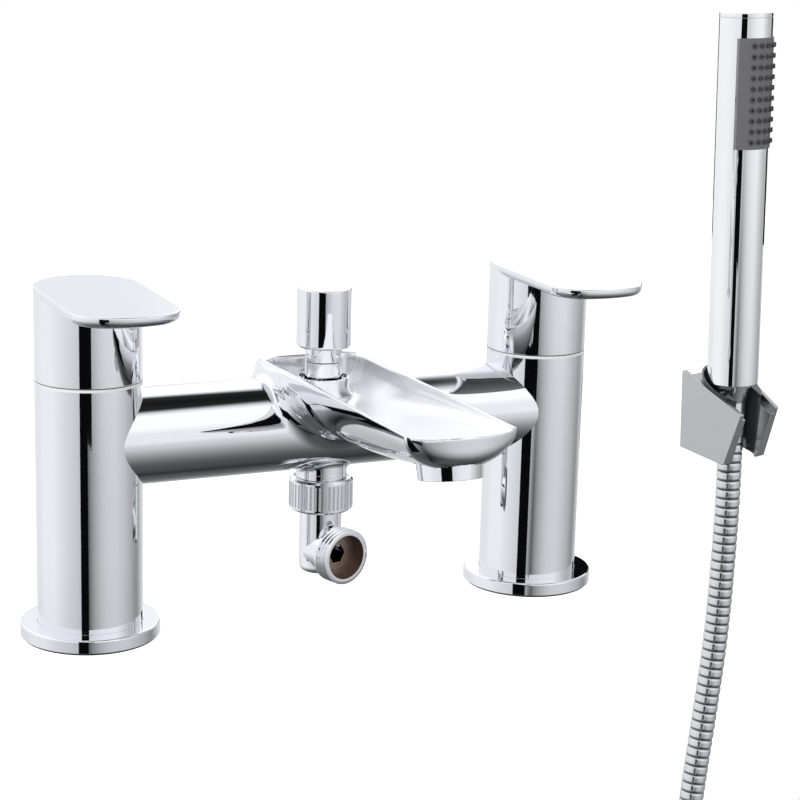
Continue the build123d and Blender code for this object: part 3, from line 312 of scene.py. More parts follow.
def net_surface(field, low, high, cell):
    """Points and quads where a field crosses zero: one point in each grid cell that the surface
    crosses, drawn onto the surface along the field's slope. Returns points, quads and normals."""
    low = np.array(low, float)
    axes = [np.arange(start, end + cell, cell) for start, end in zip(low, high)]
    value = field(*np.meshgrid(*axes, indexing="ij"))
    inside = value < 0
    shape = [count - 1 for count in value.shape]
    total = np.zeros((*shape, 3))
    crossings = np.zeros(shape)
    for axis in range(3):
        others = [number for number in range(3) if number != axis]
        for first in (0, 1):
            for second in (0, 1):
                offset = [0, 0, 0]
                offset[others[0]], offset[others[1]] = first, second
                near = tuple(slice(step, step + count) for step, count in zip(offset, shape))
                offset[axis] = 1
                far = tuple(slice(step, step + count) for step, count in zip(offset, shape))
                crossed = inside[near] != inside[far]
                spread = np.where(crossed, value[near] - value[far], 1.0)
                total[..., axis] += np.where(crossed, value[near] / spread, 0)
                total[..., others[0]] += first * crossed
                total[..., others[1]] += second * crossed
                crossings += crossed
    active = crossings > 0
    number = np.full(shape, -1)
    number[active] = np.arange(active.sum())
    cells = np.argwhere(active)
    points = low + cell * (cells + total[active] / crossings[active][:, None])
    quads = []
    for axis in range(3):
        turned = np.moveaxis(inside, axis, 0)
        numbers = np.moveaxis(number, axis, 0)
        crossed = (turned[:-1] != turned[1:])[:, 1:-1, 1:-1]
        at = np.argwhere(crossed)
        i, j, k = at[:, 0], at[:, 1] + 1, at[:, 2] + 1
        corners = (numbers[i, j - 1, k - 1], numbers[i, j, k - 1], numbers[i, j, k], numbers[i, j - 1, k])
        quad = np.stack(corners, axis=-1)
        outward = turned[i, j, k] if axis != 1 else ~turned[i, j, k]
        quads.append(np.where(outward[:, None], quad, quad[:, ::-1]))
    for _ in range(5):
        slope = field_slope(field, points)
        step = np.clip(field(*points.T), -cell / 2, cell / 2) / np.maximum((slope**2).sum(1), 0.25)
        points = points - slope * step[:, None]
    slope = field_slope(field, points)
    return points, np.concatenate(quads), slope / np.linalg.norm(slope, axis=1)[:, None]


def field_slope(field, points, reach=0.12):
    """Slope of a field at points, from differences each way."""
    steps = np.eye(3) * reach
    rises = [field(*(points + step).T) - field(*(points - step).T) for step in steps]
    return np.stack([rise / (2 * reach) for rise in rises], axis=-1)


# Material helpers


class NodeTree:
    """A short hand for adding, setting and joining nodes of one tree."""

    def __init__(self, tree):
        self.tree = tree

    def add(self, kind, **values):
        node = self.tree.nodes.new(kind)
        for name, value in values.items():
            setattr(node, name, value)
        return node

    def join(self, output, target):
        self.tree.links.new(output, target)

    def feed(self, targets, values):
        """Joins each output to its target, or sets the target where the value is a constant."""
        for target, value in zip(targets, values):
            if isinstance(value, bpy.types.NodeSocket):
                self.join(value, target)
            else:
                target.default_value = value

    def maths(self, operation, *values):
        """The result of one step of arithmetic on outputs or constants."""
        node = self.add("ShaderNodeMath", operation=operation)
        self.feed(node.inputs, values)
        return node.outputs[0]


def surface_group():
    """The shader group that every finish uses: fine noise that roughens and dimples a surface.

    Roughness is Low plus a soft noise times the span to High. Height is a finer noise, for a Bump
    node. Shade is one, less a broad noise times Mottle, for the base colour."""
    if "surface_grain" in bpy.data.node_groups:
        return bpy.data.node_groups["surface_grain"]
    group = bpy.data.node_groups.new("surface_grain", "ShaderNodeTree")
    sockets = (
        ("Vector", "INPUT", "NodeSocketVector", None),
        ("Scale", "INPUT", "NodeSocketFloat", 60.0),
        ("Low", "INPUT", "NodeSocketFloat", 0.03),
        ("High", "INPUT", "NodeSocketFloat", 0.06),
        ("Mottle", "INPUT", "NodeSocketFloat", 0.05),
        ("Roughness", "OUTPUT", "NodeSocketFloat", None),
        ("Height", "OUTPUT", "NodeSocketFloat", None),
        ("Shade", "OUTPUT", "NodeSocketFloat", None),
    )
    for name, way, kind, value in sockets:
        socket = group.interface.new_socket(name=name, in_out=way, socket_type=kind)
        if value is not None:
            socket.default_value = value
    tree = NodeTree(group)
    inward = tree.add("NodeGroupInput")
    outward = tree.add("NodeGroupOutput")
    scale = inward.outputs["Scale"]

    def noise(scale, detail, roughness=0.5):
        node = tree.add("ShaderNodeTexNoise")
        inputs = (node.inputs[name] for name in ("Vector", "Scale", "Detail", "Roughness"))
        tree.feed(inputs, (inward.outputs["Vector"], scale, detail, roughness))
        return node.outputs["Fac"]

    spread = tree.add("ShaderNodeMapRange", interpolation_type="SMOOTHSTEP")
    inputs = (spread.inputs[name] for name in ("Value", "From Min", "From Max", "To Min", "To Max"))
    tree.feed(inputs, (noise(scale, 4.0, 0.65), 0.35, 0.72, inward.outputs["Low"], inward.outputs["High"]))
    tree.join(spread.outputs["Result"], outward.inputs["Roughness"])
    tree.join(noise(tree.maths("MULTIPLY", scale, 7.0), 2.0), outward.inputs["Height"])
    cloud = noise(tree.maths("MULTIPLY", scale, 0.3), 3.0)
    stain = tree.maths("MULTIPLY", cloud, inward.outputs["Mottle"])
    tree.join(tree.maths("SUBTRACT", 1.0, stain), outward.inputs["Shade"])
    return group


def grained(name, colour, metallic, low, high, scale=60.0, mottle=0.04, relief=0.0, edge=0.0, **fixed):
    """A material of one colour with its haze, mottle and dimples from the shared group.

    Returns the material, its tree, its Principled shader and the colour's multiply node."""
    material = bpy.data.materials.new(name)
    material.use_nodes = True
    tree = NodeTree(material.node_tree)
    shader = material.node_tree.nodes["Principled BSDF"]
    shader.inputs["Metallic"].default_value = metallic
    for socket, value in fixed.items():
        shader.inputs[socket.replace("_", " ")].default_value = value
    place = tree.add("ShaderNodeTexCoord")
    grain = tree.add("ShaderNodeGroup", node_tree=surface_group())
    grain.inputs["Scale"].default_value = scale
    grain.inputs["Low"].default_value = low
    grain.inputs["High"].default_value = high
    grain.inputs["Mottle"].default_value = mottle
    tree.join(place.outputs["Object"], grain.inputs["Vector"])
    tree.join(grain.outputs["Roughness"], shader.inputs["Roughness"])
    tone = tree.add("ShaderNodeMix", data_type="RGBA", blend_type="MULTIPLY")
    tone.inputs["Factor"].default_value = 1.0
    tone.inputs[6].default_value = (*colour, 1.0)
    tree.join(grain.outputs["Shade"], tone.inputs[7])
    tree.join(tone.outputs[2], shader.inputs["Base Color"])
    normal = None
    if edge > 0:
        round_edge = tree.add("ShaderNodeBevel", samples=6)
        round_edge.inputs["Radius"].default_value = edge
        normal = round_edge.outputs["Normal"]
    if relief > 0:
        bump = tree.add("ShaderNodeBump")
        bump.inputs["Strength"].default_value = 1.0
        bump.inputs["Distance"].default_value = relief
        tree.join(grain.outputs["Height"], bump.inputs["Height"])
        if normal:
            tree.join(normal, bump.inputs["Normal"])
        normal = bump.outputs["Normal"]
    if normal:
        tree.join(normal, shader.inputs["Normal"])
    return material, tree, shader, tone


def placed(tree, origin, side, way):
    """Object coordinates in millimetres turned so that Z runs along way and X along side from origin.

    Returns the distance from that axis and the height along it."""
    frame_turn = Matrix((side, way.cross(side), way)).transposed()
    place = tree.add("ShaderNodeTexCoord")
    turned = tree.add("ShaderNodeMapping", vector_type="TEXTURE")
    turned.inputs["Location"].default_value = origin
    turned.inputs["Rotation"].default_value = frame_turn.to_euler()
    turned.inputs["Scale"].default_value = (MM, MM, MM)
    tree.join(place.outputs["Object"], turned.inputs["Vector"])
    parts = tree.add("ShaderNodeSeparateXYZ")
    tree.join(turned.outputs["Vector"], parts.inputs[0])
    flat = tree.add("ShaderNodeCombineXYZ")
    tree.join(parts.outputs["X"], flat.inputs["X"])
    tree.join(parts.outputs["Y"], flat.inputs["Y"])
    length = tree.add("ShaderNodeVectorMath", operation="LENGTH")
    tree.join(flat.outputs["Vector"], length.inputs[0])
    return length.outputs["Value"], parts.outputs["Z"]


def between(tree, value, start, end, kind="LINEAR"):
    """Rises from 0 to 1 as the value goes from start to end."""
    step = tree.add("ShaderNodeMapRange", interpolation_type=kind)
    step.inputs["From Min"].default_value = start
    step.inputs["From Max"].default_value = end
    tree.join(value, step.inputs["Value"])
    return step.outputs["Result"]


def roughened(tree, shader, mask, amount):
    """Adds this amount to the roughness where the mask is 1."""
    rough = shader.inputs["Roughness"].links[0].from_socket
    tree.join(tree.maths("MULTIPLY_ADD", mask, amount, rough), shader.inputs["Roughness"])


def tinted(tree, shader, mask, colour):
    """Turns the base colour to this colour where the mask is 1."""
    blend = tree.add("ShaderNodeMix", data_type="RGBA")
    tree.join(mask, blend.inputs["Factor"])
    tree.join(shader.inputs["Base Color"].links[0].from_socket, blend.inputs[6])
    blend.inputs[7].default_value = (*colour, 1.0)
    tree.join(blend.outputs[2], shader.inputs["Base Color"])


def dress(names, material):
    """Gives CAD nodes a material in place of the one they came with."""
    for name in names:
        mesh = NODES[name].data
        mesh.materials.clear()
        mesh.materials.append(material)


# Operators


class MIXER_OT_stage(bpy.types.Operator):
    """Sets up the camera, the pale floor, the studio's light and its dark flags."""

    bl_idname = "mixer.stage"
    bl_label = "Studio"

    def execute(self, context):
        studio = context.scene.mixer_studio
        camera_data = bpy.data.cameras.new("camera")
        camera_data.lens = studio.lens
        camera_data.sensor_width = 36.0
        camera_data.clip_start = 0.02
        camera_data.clip_end = 40.0
        camera = bpy.data.objects.new("camera", camera_data)
        right = Vector(studio.camera_right).normalized()
        down = Vector(studio.camera_down)
        down = (down - right * down.dot(right)).normalized()
        back = down.cross(right)
        turn = Matrix((right, -down, back)).transposed().to_4x4()
        camera.matrix_world = Matrix.Translation(Vector(studio.camera_place)) @ turn
        context.scene.collection.objects.link(camera)
        context.scene.camera = camera
        context.scene.view_settings.view_transform = "Standard"
        self.floor(context, studio)
        self.flags(context)
        self.lamp(context, studio)
        self.world(context, studio)
        return {"FINISHED"}

    def floor(self, context, studio):
        """A round floor under the lowest part of the hose, white to the camera."""
        low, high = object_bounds()
        angle = np.linspace(0, 2 * pi, 97)[:-1]
        centre = (low + high) / 2
        points = np.stack(
            [
                centre.x + studio.floor_reach * np.cos(angle),
                centre.y + studio.floor_reach * np.sin(angle),
                np.full_like(angle, low.z - studio.floor_drop),
            ],
            axis=-1,
        )
        mesh = bpy.data.meshes.new("floor")
        mesh.from_pydata(points.tolist(), [], [list(range(len(points)))])
        floor = bpy.data.objects.new("floor", mesh)
        context.scene.collection.objects.link(floor)
        material = bpy.data.materials.new("pale_floor")
        material.use_nodes = True
        tree = NodeTree(material.node_tree)
        shader = material.node_tree.nodes["Principled BSDF"]
        shader.inputs["Base Color"].default_value = (0.9, 0.9, 0.9, 1)
        shader.inputs["Roughness"].default_value = 0.9
        path = tree.add("ShaderNodeLightPath")
        glow = tree.maths("MULTIPLY", path.outputs["Is Camera Ray"], 0.55)
        shader.inputs["Emission Color"].default_value = (1, 1, 1, 1)
        tree.join(glow, shader.inputs["Emission Strength"])
        mesh.materials.append(material)
        floor.visible_glossy = False
        floor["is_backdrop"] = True

    def flags(self, context):
        """Upright dark cards that only reflections see, as a studio's flags."""
        cards = (
            ("flag_lens", (-0.327, -0.326), (-0.397, -0.843), (-0.62, 0.34)),
            ("flag_kit_back", (0.29, 0.409), (0.51, 0.271), (0.07, 0.21)),
            ("flag_kit_side", (0.51, 0.271), (0.553, 0.194), (0.07, 0.21)),
            ("flag_kit_front", (-0.397, -0.843), (-0.26, -0.86), (-0.15, 0.3)),
        )
        material = bpy.data.materials.new("flag_black")
        material.use_nodes = True
        shader = material.node_tree.nodes["Principled BSDF"]
        shader.inputs["Base Color"].default_value = (0.004, 0.004, 0.005, 1)
        shader.inputs["Specular IOR Level"].default_value = 0.0
        for name, near, far, span in cards:
            points = [(*near, span[0]), (*far, span[0]), (*far, span[1]), (*near, span[1])]
            mesh = bpy.data.meshes.new(name)
            mesh.from_pydata(points, [], [(0, 1, 2, 3)])
            mesh.materials.append(material)
            card = bpy.data.objects.new(name, mesh)
            context.scene.collection.objects.link(card)
            card.visible_camera = False
            card.visible_diffuse = False
            card.visible_shadow = False
            card.visible_transmission = False
            card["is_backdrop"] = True

    def lamp(self, context, studio):
        """One large soft lamp above the left shoulder, for matt surfaces and shadows."""
        light = bpy.data.lights.new("soft_lamp", "AREA")
        light.shape = "RECTANGLE"
        light.size = 0.9
        light.size_y = 0.7
        light.energy = studio.lamp_power
        lamp = bpy.data.objects.new("soft_lamp", light)
        lamp.location = (-0.75, -0.85, 1.05)
        lamp.rotation_euler = (Vector((0.1, 0, 0.05)) - lamp.location).to_track_quat("-Z", "Y").to_euler()
        lamp.visible_glossy = False
        lamp.visible_camera = False
        context.scene.collection.objects.link(lamp)

    def world(self, context, studio):
        """White to the camera, even to matt surfaces, and a banded studio to reflections."""
        world = bpy.data.worlds.new("studio")
        context.scene.world = world
        world.use_nodes = True
        tree = NodeTree(world.node_tree)
        nodes = world.node_tree.nodes
        nodes.clear()
        place = tree.add("ShaderNodeTexCoord")
        parts = tree.add("ShaderNodeSeparateXYZ")
        tree.join(place.outputs["Generated"], parts.inputs[0])
        toward = tree.maths("MULTIPLY", parts.outputs["Y"], -1.0)
        azimuth = tree.maths("ARCTAN2", parts.outputs["X"], toward)
        around = between(tree, azimuth, -pi, pi)
        height = between(tree, parts.outputs["Z"], -1.0, 1.0)
        lift = between(tree, parts.outputs["Z"], -0.29, -0.04, "SMOOTHSTEP")
        # The dark patch overhead lies over the bar's right, where the bar alone mirrors it
        patch = between(tree, parts.outputs["X"], 0.02, 0.2, "SMOOTHSTEP")

        def ramp(fac, stops, low, high, tint=(1.0, 1.0, 1.0)):
            """The colour at a value from low to high, from stops of a place and a level."""
            node = tree.add("ShaderNodeValToRGB")
            while len(node.color_ramp.elements) < len(stops):
                node.color_ramp.elements.new(0.5)
            for element, (at, value) in zip(node.color_ramp.elements, stops):
                element.position = (at - low) / (high - low)
                element.color = (value * tint[0], value * tint[1], value * tint[2], 1.0)
            tree.join(fac, node.inputs["Fac"])
            return node.outputs["Color"]

        low_round = ramp(
            around,
            [
                (-180, 0.70), (-150, 0.72), (-132, 0.79), (-100, 0.79), (-88, 0.73), (-62, 0.61), (-46, 0.55),
                (-34, 0.48), (-20, 0.09), (-14, 0.22), (-7, 0.33), (1, 0.42), (10, 0.51), (20, 0.56),
                (32, 0.58), (42, 0.58), (52, 0.54), (66, 0.47), (80, 0.39), (92, 0.29), (102, 0.25),
                (112, 0.36), (122, 0.50), (136, 0.68), (180, 0.70),
            ],
            -180, 180, (0.975, 0.985, 1.02),
        )
        high_round = ramp(
            around,
            [
                (-180, 0.80), (-120, 0.80), (-60, 0.74), (-20, 0.62), (10, 0.76), (40, 0.80), (58, 0.62),
                (75, 0.46), (92, 0.40), (106, 0.46), (118, 0.72), (132, 0.94), (142, 0.98), (156, 0.98),
                (162, 0.745), (172, 0.745), (180, 0.80),
            ],
            -180, 180, (0.98, 0.985, 1.02),
        )
        falling = [(-1.0, 0.12), (-0.88, 0.13), (-0.79, 0.2), (-0.67, 0.36), (-0.5, 0.62), (-0.3, 1.0), (1.0, 1.0)]
        low_fade = ramp(height, falling, -1, 1)
        rising = [(-1.0, 0.833), (0.24, 0.833), (0.44, 1.0), (0.8, 1.0), (0.87, 0.6), (1.0, 0.6)]
        high_fade = ramp(height, rising, -1, 1)
        zenith = ramp(height, [(-1.0, 1.0), (0.86, 1.0), (0.905, 0.035), (1.0, 0.03)], -1, 1)

        def mix(kind, one, two, factor=1.0):
            node = tree.add("ShaderNodeMix", data_type="RGBA", blend_type=kind)
            tree.feed((node.inputs[0], node.inputs[6], node.inputs[7]), (factor, one, two))
            return node.outputs[2]

        def background(colour, strength):
            node = tree.add("ShaderNodeBackground")
            tree.feed(node.inputs, (colour, strength))
            return node.outputs[0]

        def choose(test, otherwise, chosen):
            node = tree.add("ShaderNodeMixShader")
            tree.feed(node.inputs, (test, otherwise, chosen))
            return node.outputs[0]

        lower = mix("MULTIPLY", low_round, low_fade)
        graded = mix("MULTIPLY", mix("MIX", lower, high_round, lift), high_fade)
        mirrored = background(mix("MULTIPLY", graded, zenith, patch), studio.gloss_level)
        white = (1, 1, 1, 1)
        path = tree.add("ShaderNodeLightPath")
        glossy = choose(path.outputs["Is Glossy Ray"], background(white, studio.fill_level), mirrored)
        seen = choose(path.outputs["Is Camera Ray"], glossy, background(white, 1.0))
        out = tree.add("ShaderNodeOutputWorld")
        tree.join(seen, out.inputs["Surface"])


class MIXER_OT_body(bpy.types.Operator):
    """Casts the bar, hump, scooped spout and diverter collar as one blended surface."""

    bl_idname = "mixer.body"
    bl_label = "Cast body"

    # Sizes in millimetres that the body shares with the parts round it
    bar_radius, bar_height, pillar_x, pillar_radius = 17.6, 72.3, 90.0, 19.05
    back, back_corner, bow, front_corner = 17.0, 9.0, 5.5, 1.0
    lip, lip_least, nose_radius, nose_fall = 4.2, 0.6, 8.5, radians(13.0)
    flare, run_out = 2.6, 4.0
    belly = ((-0.142, -0.042, 0.251, 0.51, 0.703, 0.86, 1.02), (23.6, 23.2, 22.49, 20.3, 17.79, 14.8, 11.59))
    scoop = ((-0.13, 0.0, 0.25, 0.5, 0.75, 0.9, 1.0), (17.3, 17.04, 13.32, 9.86, 6.1, 2.9, 0.7))
    collar_radius, collar_top, mouth_radius, mouth_floor = 9.9, 89.5, 8.9, 85.0
    boss_radius, boss_foot = 9.64, 51.5
    aerator = (-107.0, 77.4, radians(10.5), 11.3, 12.5)

    def bowl(self, x, y, z, half_width, table, reach):
        """Distance to a half ellipse under the rim, (x/a)^2 + (h/b)^2 = 1 with b from the table."""
        body = self.body
        depth = np.polyval(np.polyfit(np.array(table[0]) * reach, table[1], 4), -y)
        depth = np.maximum(depth, 0.3)
        drop = np.minimum(z - body.rim_height, 0)
        near = np.hypot(x / half_width, drop / depth)
        slope = np.maximum(np.hypot(x / half_width**2, drop / depth**2), 1e-6)
        curve = np.where(near > 1e-6, near * (near - 1) / slope, -half_width)
        return np.where(z < body.rim_height, curve, np.abs(x) - half_width)

    def width(self, y):
        """Half width of the spout at y: even along the spout, flaring out beside the diverter."""
        return self.body.half_width + self.flare * soft_step(y, -45.0, 5.0)

    def outline(self, x, y, side_inset, front_inset, back_corner):
        """Distance to the rim's outline seen from above, a bow at the front and round back corners."""
        body = self.body
        bow_radius = (body.half_width**2 + self.bow**2) / (2 * self.bow)
        ahead = y + body.reach - bow_radius
        front = np.where(ahead < 0, np.hypot(x, ahead), np.abs(x)) - bow_radius + front_inset
        sides = round_cut(np.abs(x) - self.width(y) + side_inset, y - self.back + side_inset, back_corner)
        return round_cut(sides, front, self.front_corner)

    def nose(self, x, y, z):
        """Distance to the lip's underside, a profile turned round the centre of the front's bow."""
        body = self.body
        bow_radius = (body.half_width**2 + self.bow**2) / (2 * self.bow)
        ahead = y + body.reach - bow_radius
        out = np.where(ahead < 0, np.hypot(x, ahead), np.abs(x)) - bow_radius + self.nose_radius
        lip = self.lip_least + self.lip * np.maximum(1 - (x / body.half_width) ** 2, 0)
        rise = z - body.rim_height + lip
        end = (sin(self.nose_fall), -cos(self.nose_fall))
        flat = out * end[0] + rise * end[1] - self.nose_radius
        before = out * end[1] - rise * end[0] < 0
        curve = np.where(before, np.hypot(out, rise) - self.nose_radius, flat)
        under = np.where(rise >= 0, out - self.nose_radius, curve)
        return under - np.maximum(ahead - 8.0, 0) * 0.6

    def field(self, x, y, z):
        """Signed distance, about, to the cast body: negative inside.

        The spout is the least of the belly's half ellipse, the outline and the nose. It joins the
        bar, a cylinder, with a hollow blend; the rim's plane cuts both, and the scoop, a smaller
        half ellipse inside a narrower outline, is cut out of them. The collar and the boss join on."""
        body = self.body
        back = soft_step(y, -60.0, 0.0)
        rim = body.rim_front + (body.rim_back - body.rim_front) * back
        spout = self.bowl(x, y, z, self.width(y), self.belly, body.reach)
        spout = round_cut(spout, self.outline(x, y, 0.0, 0.0, self.back_corner), 0.6)
        spout = round_cut(spout, self.nose(x, y, z), 0.6)
        bar = np.hypot(y, z - self.bar_height) - self.bar_radius
        whole = round_join(spout, bar, body.blend)
        whole = round_cut(whole, z - body.rim_height, 0.6 + 1.5 * back)
        scoop = self.bowl(x, y, z, self.width(y) - rim, self.scoop, body.reach)
        scoop = round_cut(scoop, self.outline(x, y, rim, -self.run_out, self.back_corner - 1.0), 1.5)
        whole = round_cut(whole, -scoop, 0.6 + 1.1 * back)
        middle = np.hypot(x, y)
        collar = round_cut(middle - self.collar_radius, z - self.collar_top, 0.3)
        collar = np.maximum(collar, self.bar_height - z)
        whole = round_join(whole, collar, 5.0)
        whole = round_cut(whole, -np.maximum(middle - self.mouth_radius, self.mouth_floor - z), 0.2)
        boss = np.maximum(np.maximum(middle - self.boss_radius, self.boss_foot - z), z - self.bar_height)
        whole = round_join(whole, boss, 1.5)
        place, foot, lean, radius, height = self.aerator
        up = (y - place) * sin(lean) + (z - foot) * cos(lean)
        aside = np.hypot(x, (y - place) * cos(lean) - (z - foot) * sin(lean))
        whole = np.maximum(whole, -np.maximum(aside - radius, up - height))
        pillar = self.pillar_radius - 0.85 - np.hypot(np.abs(x) - self.pillar_x, y)
        return np.maximum(whole, pillar)

    def execute(self, context):
        self.body = context.scene.mixer_body
        body = self.body
        low = (-self.pillar_x, -body.reach - 2.5, self.boss_foot - 2.5)
        high = (self.pillar_x, self.bar_radius + 2.5, body.rim_height + 2.5)
        points, quads, normals = net_surface(self.field, low, high, body.cell)
        x, y, z = points.T
        back = soft_step(y, -60.0, 0.0)
        rim = body.rim_front + (body.rim_back - body.rim_front) * back
        scoop = self.bowl(x, y, z, self.width(y) - rim, self.scoop, body.reach)
        past_collar = np.hypot(x, y) - self.collar_radius
        dish = soft_step(scoop, 1.4, 0.2) * soft_step(past_collar, 1.0, 4.0)
        piece = new_piece("cast_body", points * MM, quads, "mixer")
        piece.data.normals_split_custom_set_from_vertices(normals.tolist())
        mark = piece.data.attributes.new("dish", "FLOAT", "POINT")
        mark.data.foreach_set("value", (dish * (z < body.rim_height - 0.3)).astype(np.float32))
        lit = context.scene.mixer_finish
        material, tree, shader, _ = grained(
            "cast_chrome", tuple(lit.chrome_colour), 1.0, lit.chrome_haze, lit.chrome_haze + 0.02, scale=70.0,
            mottle=0.03, relief=0.0000015,
        )
        # The dish mask roughens the scoop, and it also paints the scoop's base colour lighter than the chrome's: a
        # painted highlight for the bright sheen the scoop shows
        inner = tree.add("ShaderNodeAttribute", attribute_name="dish")
        roughened(tree, shader, inner.outputs["Fac"], 0.22)
        tinted(tree, shader, inner.outputs["Fac"], (0.97, 0.975, 0.98))
        piece.data.materials.append(material)
        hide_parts("mixer_body")
        return {"FINISHED"}


class MIXER_OT_hose(bpy.types.Operator):
    bl_idname = "mixer.hose"
    bl_label = "Shower hose"

    # Sideways and height in the wall's plane, in millimetres
    route = (
        (4.7, -50.0), (3.4, -88.0), (-0.9, -126.0), (-6.1, -164.0), (-9.4, -196.0), (-9.9, -222.0), (-9.0, -244.5),
    )
    exit_height = 13.5
    first_run = 30.0
    coil_left = -0.009
    coil_height = -0.277
    coil_end_left = -0.029
    points_per_half = 8

    def centreline(self, context, hose):
        """Reads the points of a NURBS spline of order 3 through the route and the coil."""
        start = KIT_FOOT + KIT_UP * self.exit_height * MM
        points = [start, KIT_FOOT + KIT_UP * (self.exit_height - self.first_run) * MM]
        points += [wall_point(x * MM, z * MM, 0) for x, z in self.route]
        points.append(wall_point(self.coil_left, self.coil_height + 2 * hose.radius, 0))
        step = hose.coil_step
        sizes = [hose.coil_radius - share * step for share in (0, 0.5, 1, 1.5, 1)]
        x, front = self.coil_left, 0.0
        # A quadratic spline round a polygon runs a little inside its corners
        inside = 0.75 + 0.25 * cos(pi / self.points_per_half)
        for number in range(6):
            below = number % 2 == 0
            to_front = step if number >= 3 else 0.0
            if number < 5:
                radius = sizes[number]
                end = x + 2 * radius * (1 if below else -1)
            else:
                end = self.coil_end_left
                radius = abs(end - x) / 2
            middle = (x + end) / 2
            for count in range(self.points_per_half):
                angle = pi * (count + 0.5) / self.points_per_half
                share = (1 - cos(angle)) / 2
                side = (x - middle) / inside * cos(angle)
                rise = radius / inside * sin(angle) * (-1 if below else 1)
                points.append(
                    wall_point(middle + side, self.coil_height + rise, front + (to_front - front) * share)
                )
            x, front = end, to_front
        points.append(wall_point(x, self.coil_height - hose.radius, front))
        points.append(wall_point(x, self.coil_height - 2 * hose.radius, front))
        curve = bpy.data.curves.new("hose_route", "CURVE")
        curve.dimensions = "3D"
        spline = curve.splines.new("NURBS")
        spline.points.add(len(points) - 1)
        for control, point in zip(spline.points, points):
            control.co = (*point, 1.0)
        spline.order_u = 3
        spline.use_endpoint_u = True
        spline.resolution_u = 16
        holder = bpy.data.objects.new("hose_route", curve)
        context.scene.collection.objects.link(holder)
        mesh = bpy.data.meshes.new_from_object(holder)
        line = np.empty(len(mesh.vertices) * 3)
        mesh.vertices.foreach_get("co", line)
        bpy.data.meshes.remove(mesh)
        bpy.data.objects.remove(holder)
        bpy.data.curves.remove(curve)
        return line.reshape(-1, 3)

    def execute(self, context):
        """The tube is radius(d) round the line at the distance d along it.

        The radius is the outer one less the groove's depth times a narrow dip that repeats with the
        ribs, with a shallow waist in the middle of each rib."""
        hose = context.scene.mixer_hose
        line = self.centreline(context, hose)
        runs = np.linalg.norm(np.diff(line, axis=0), axis=1)
        along = np.concatenate([[0], np.cumsum(runs)])
        whole = along[-1]
        ribs = int(whole / hose.rib_pitch)
        # Distances crowd into the groove at the start of each rib
        share = np.array([0.0, 0.06, 0.13, 0.22, 0.36, 0.5, 0.64, 0.78, 0.9])
        dip = np.array([1.0, 0.82, 0.22, 0.03, 0.0, 0.06, 0.0, 0.03, 0.3])
        distance = ((np.arange(ribs)[:, None] + share[None, :]) * whole / ribs).ravel()
        depth = np.tile(dip, ribs)
        distance = np.append(distance, whole)
        depth = np.append(depth, 1.0)
        centre, ahead, behind = (
            np.stack([np.interp(distance + shift, along, line[:, axis]) for axis in range(3)], axis=-1)
            for shift in (0, MM, -MM)
        )
        heading = ahead - behind
        heading /= np.linalg.norm(heading, axis=1)[:, None]
        side = np.cross(heading, np.array(INTO))
        side /= np.linalg.norm(side, axis=1)[:, None]
        upright = np.cross(side, heading)
        columns = 30
        angle = np.arange(columns) * 2 * pi / columns
        radius = hose.radius - hose.groove * depth
        sideways = side[:, None, :] * np.cos(angle)[None, :, None]
        ring = sideways + upright[:, None, :] * np.sin(angle)[None, :, None]
        points = (centre[:, None, :] + ring * radius[:, None, None]).reshape(-1, 3)
        faces = grid_faces(len(distance), columns, True).tolist()
        rows = len(distance)
        faces.append(list(range(columns))[::-1])
        faces.append(list(range((rows - 1) * columns, rows * columns)))
        tube = new_piece("shower_hose", points, faces, "hose")
        mesh = tube.data
        mark = mesh.attributes.new("groove", "FLOAT", "POINT")
        mark.data.foreach_set("value", np.repeat(depth, columns).astype(np.float32))
        lit = context.scene.mixer_finish
        material, tree, shader, tone = grained(
            "spiral_steel", tuple(lit.hose_colour), 1.0, 0.10, 0.20, scale=900.0, mottle=0.1, relief=0.00002,
        )
        # The grooves between the ribs are painted dark, darkest at the bottom of each groove: painted shade in the
        # hose's recesses
        shade = tree.add("ShaderNodeAttribute", attribute_name="groove")
        dark = tree.add("ShaderNodeMix", data_type="RGBA", blend_type="MIX")
        tree.join(tree.maths("POWER", shade.outputs["Fac"], 1.4), dark.inputs["Factor"])
        tree.join(tone.outputs[2], dark.inputs[6])
        dark.inputs[7].default_value = (0.03, 0.03, 0.032, 1.0)
        tree.join(dark.outputs[2], shader.inputs["Base Color"])
        mesh.materials.append(material)
        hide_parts("hose_drop", "hose_coil")
        return {"FINISHED"}


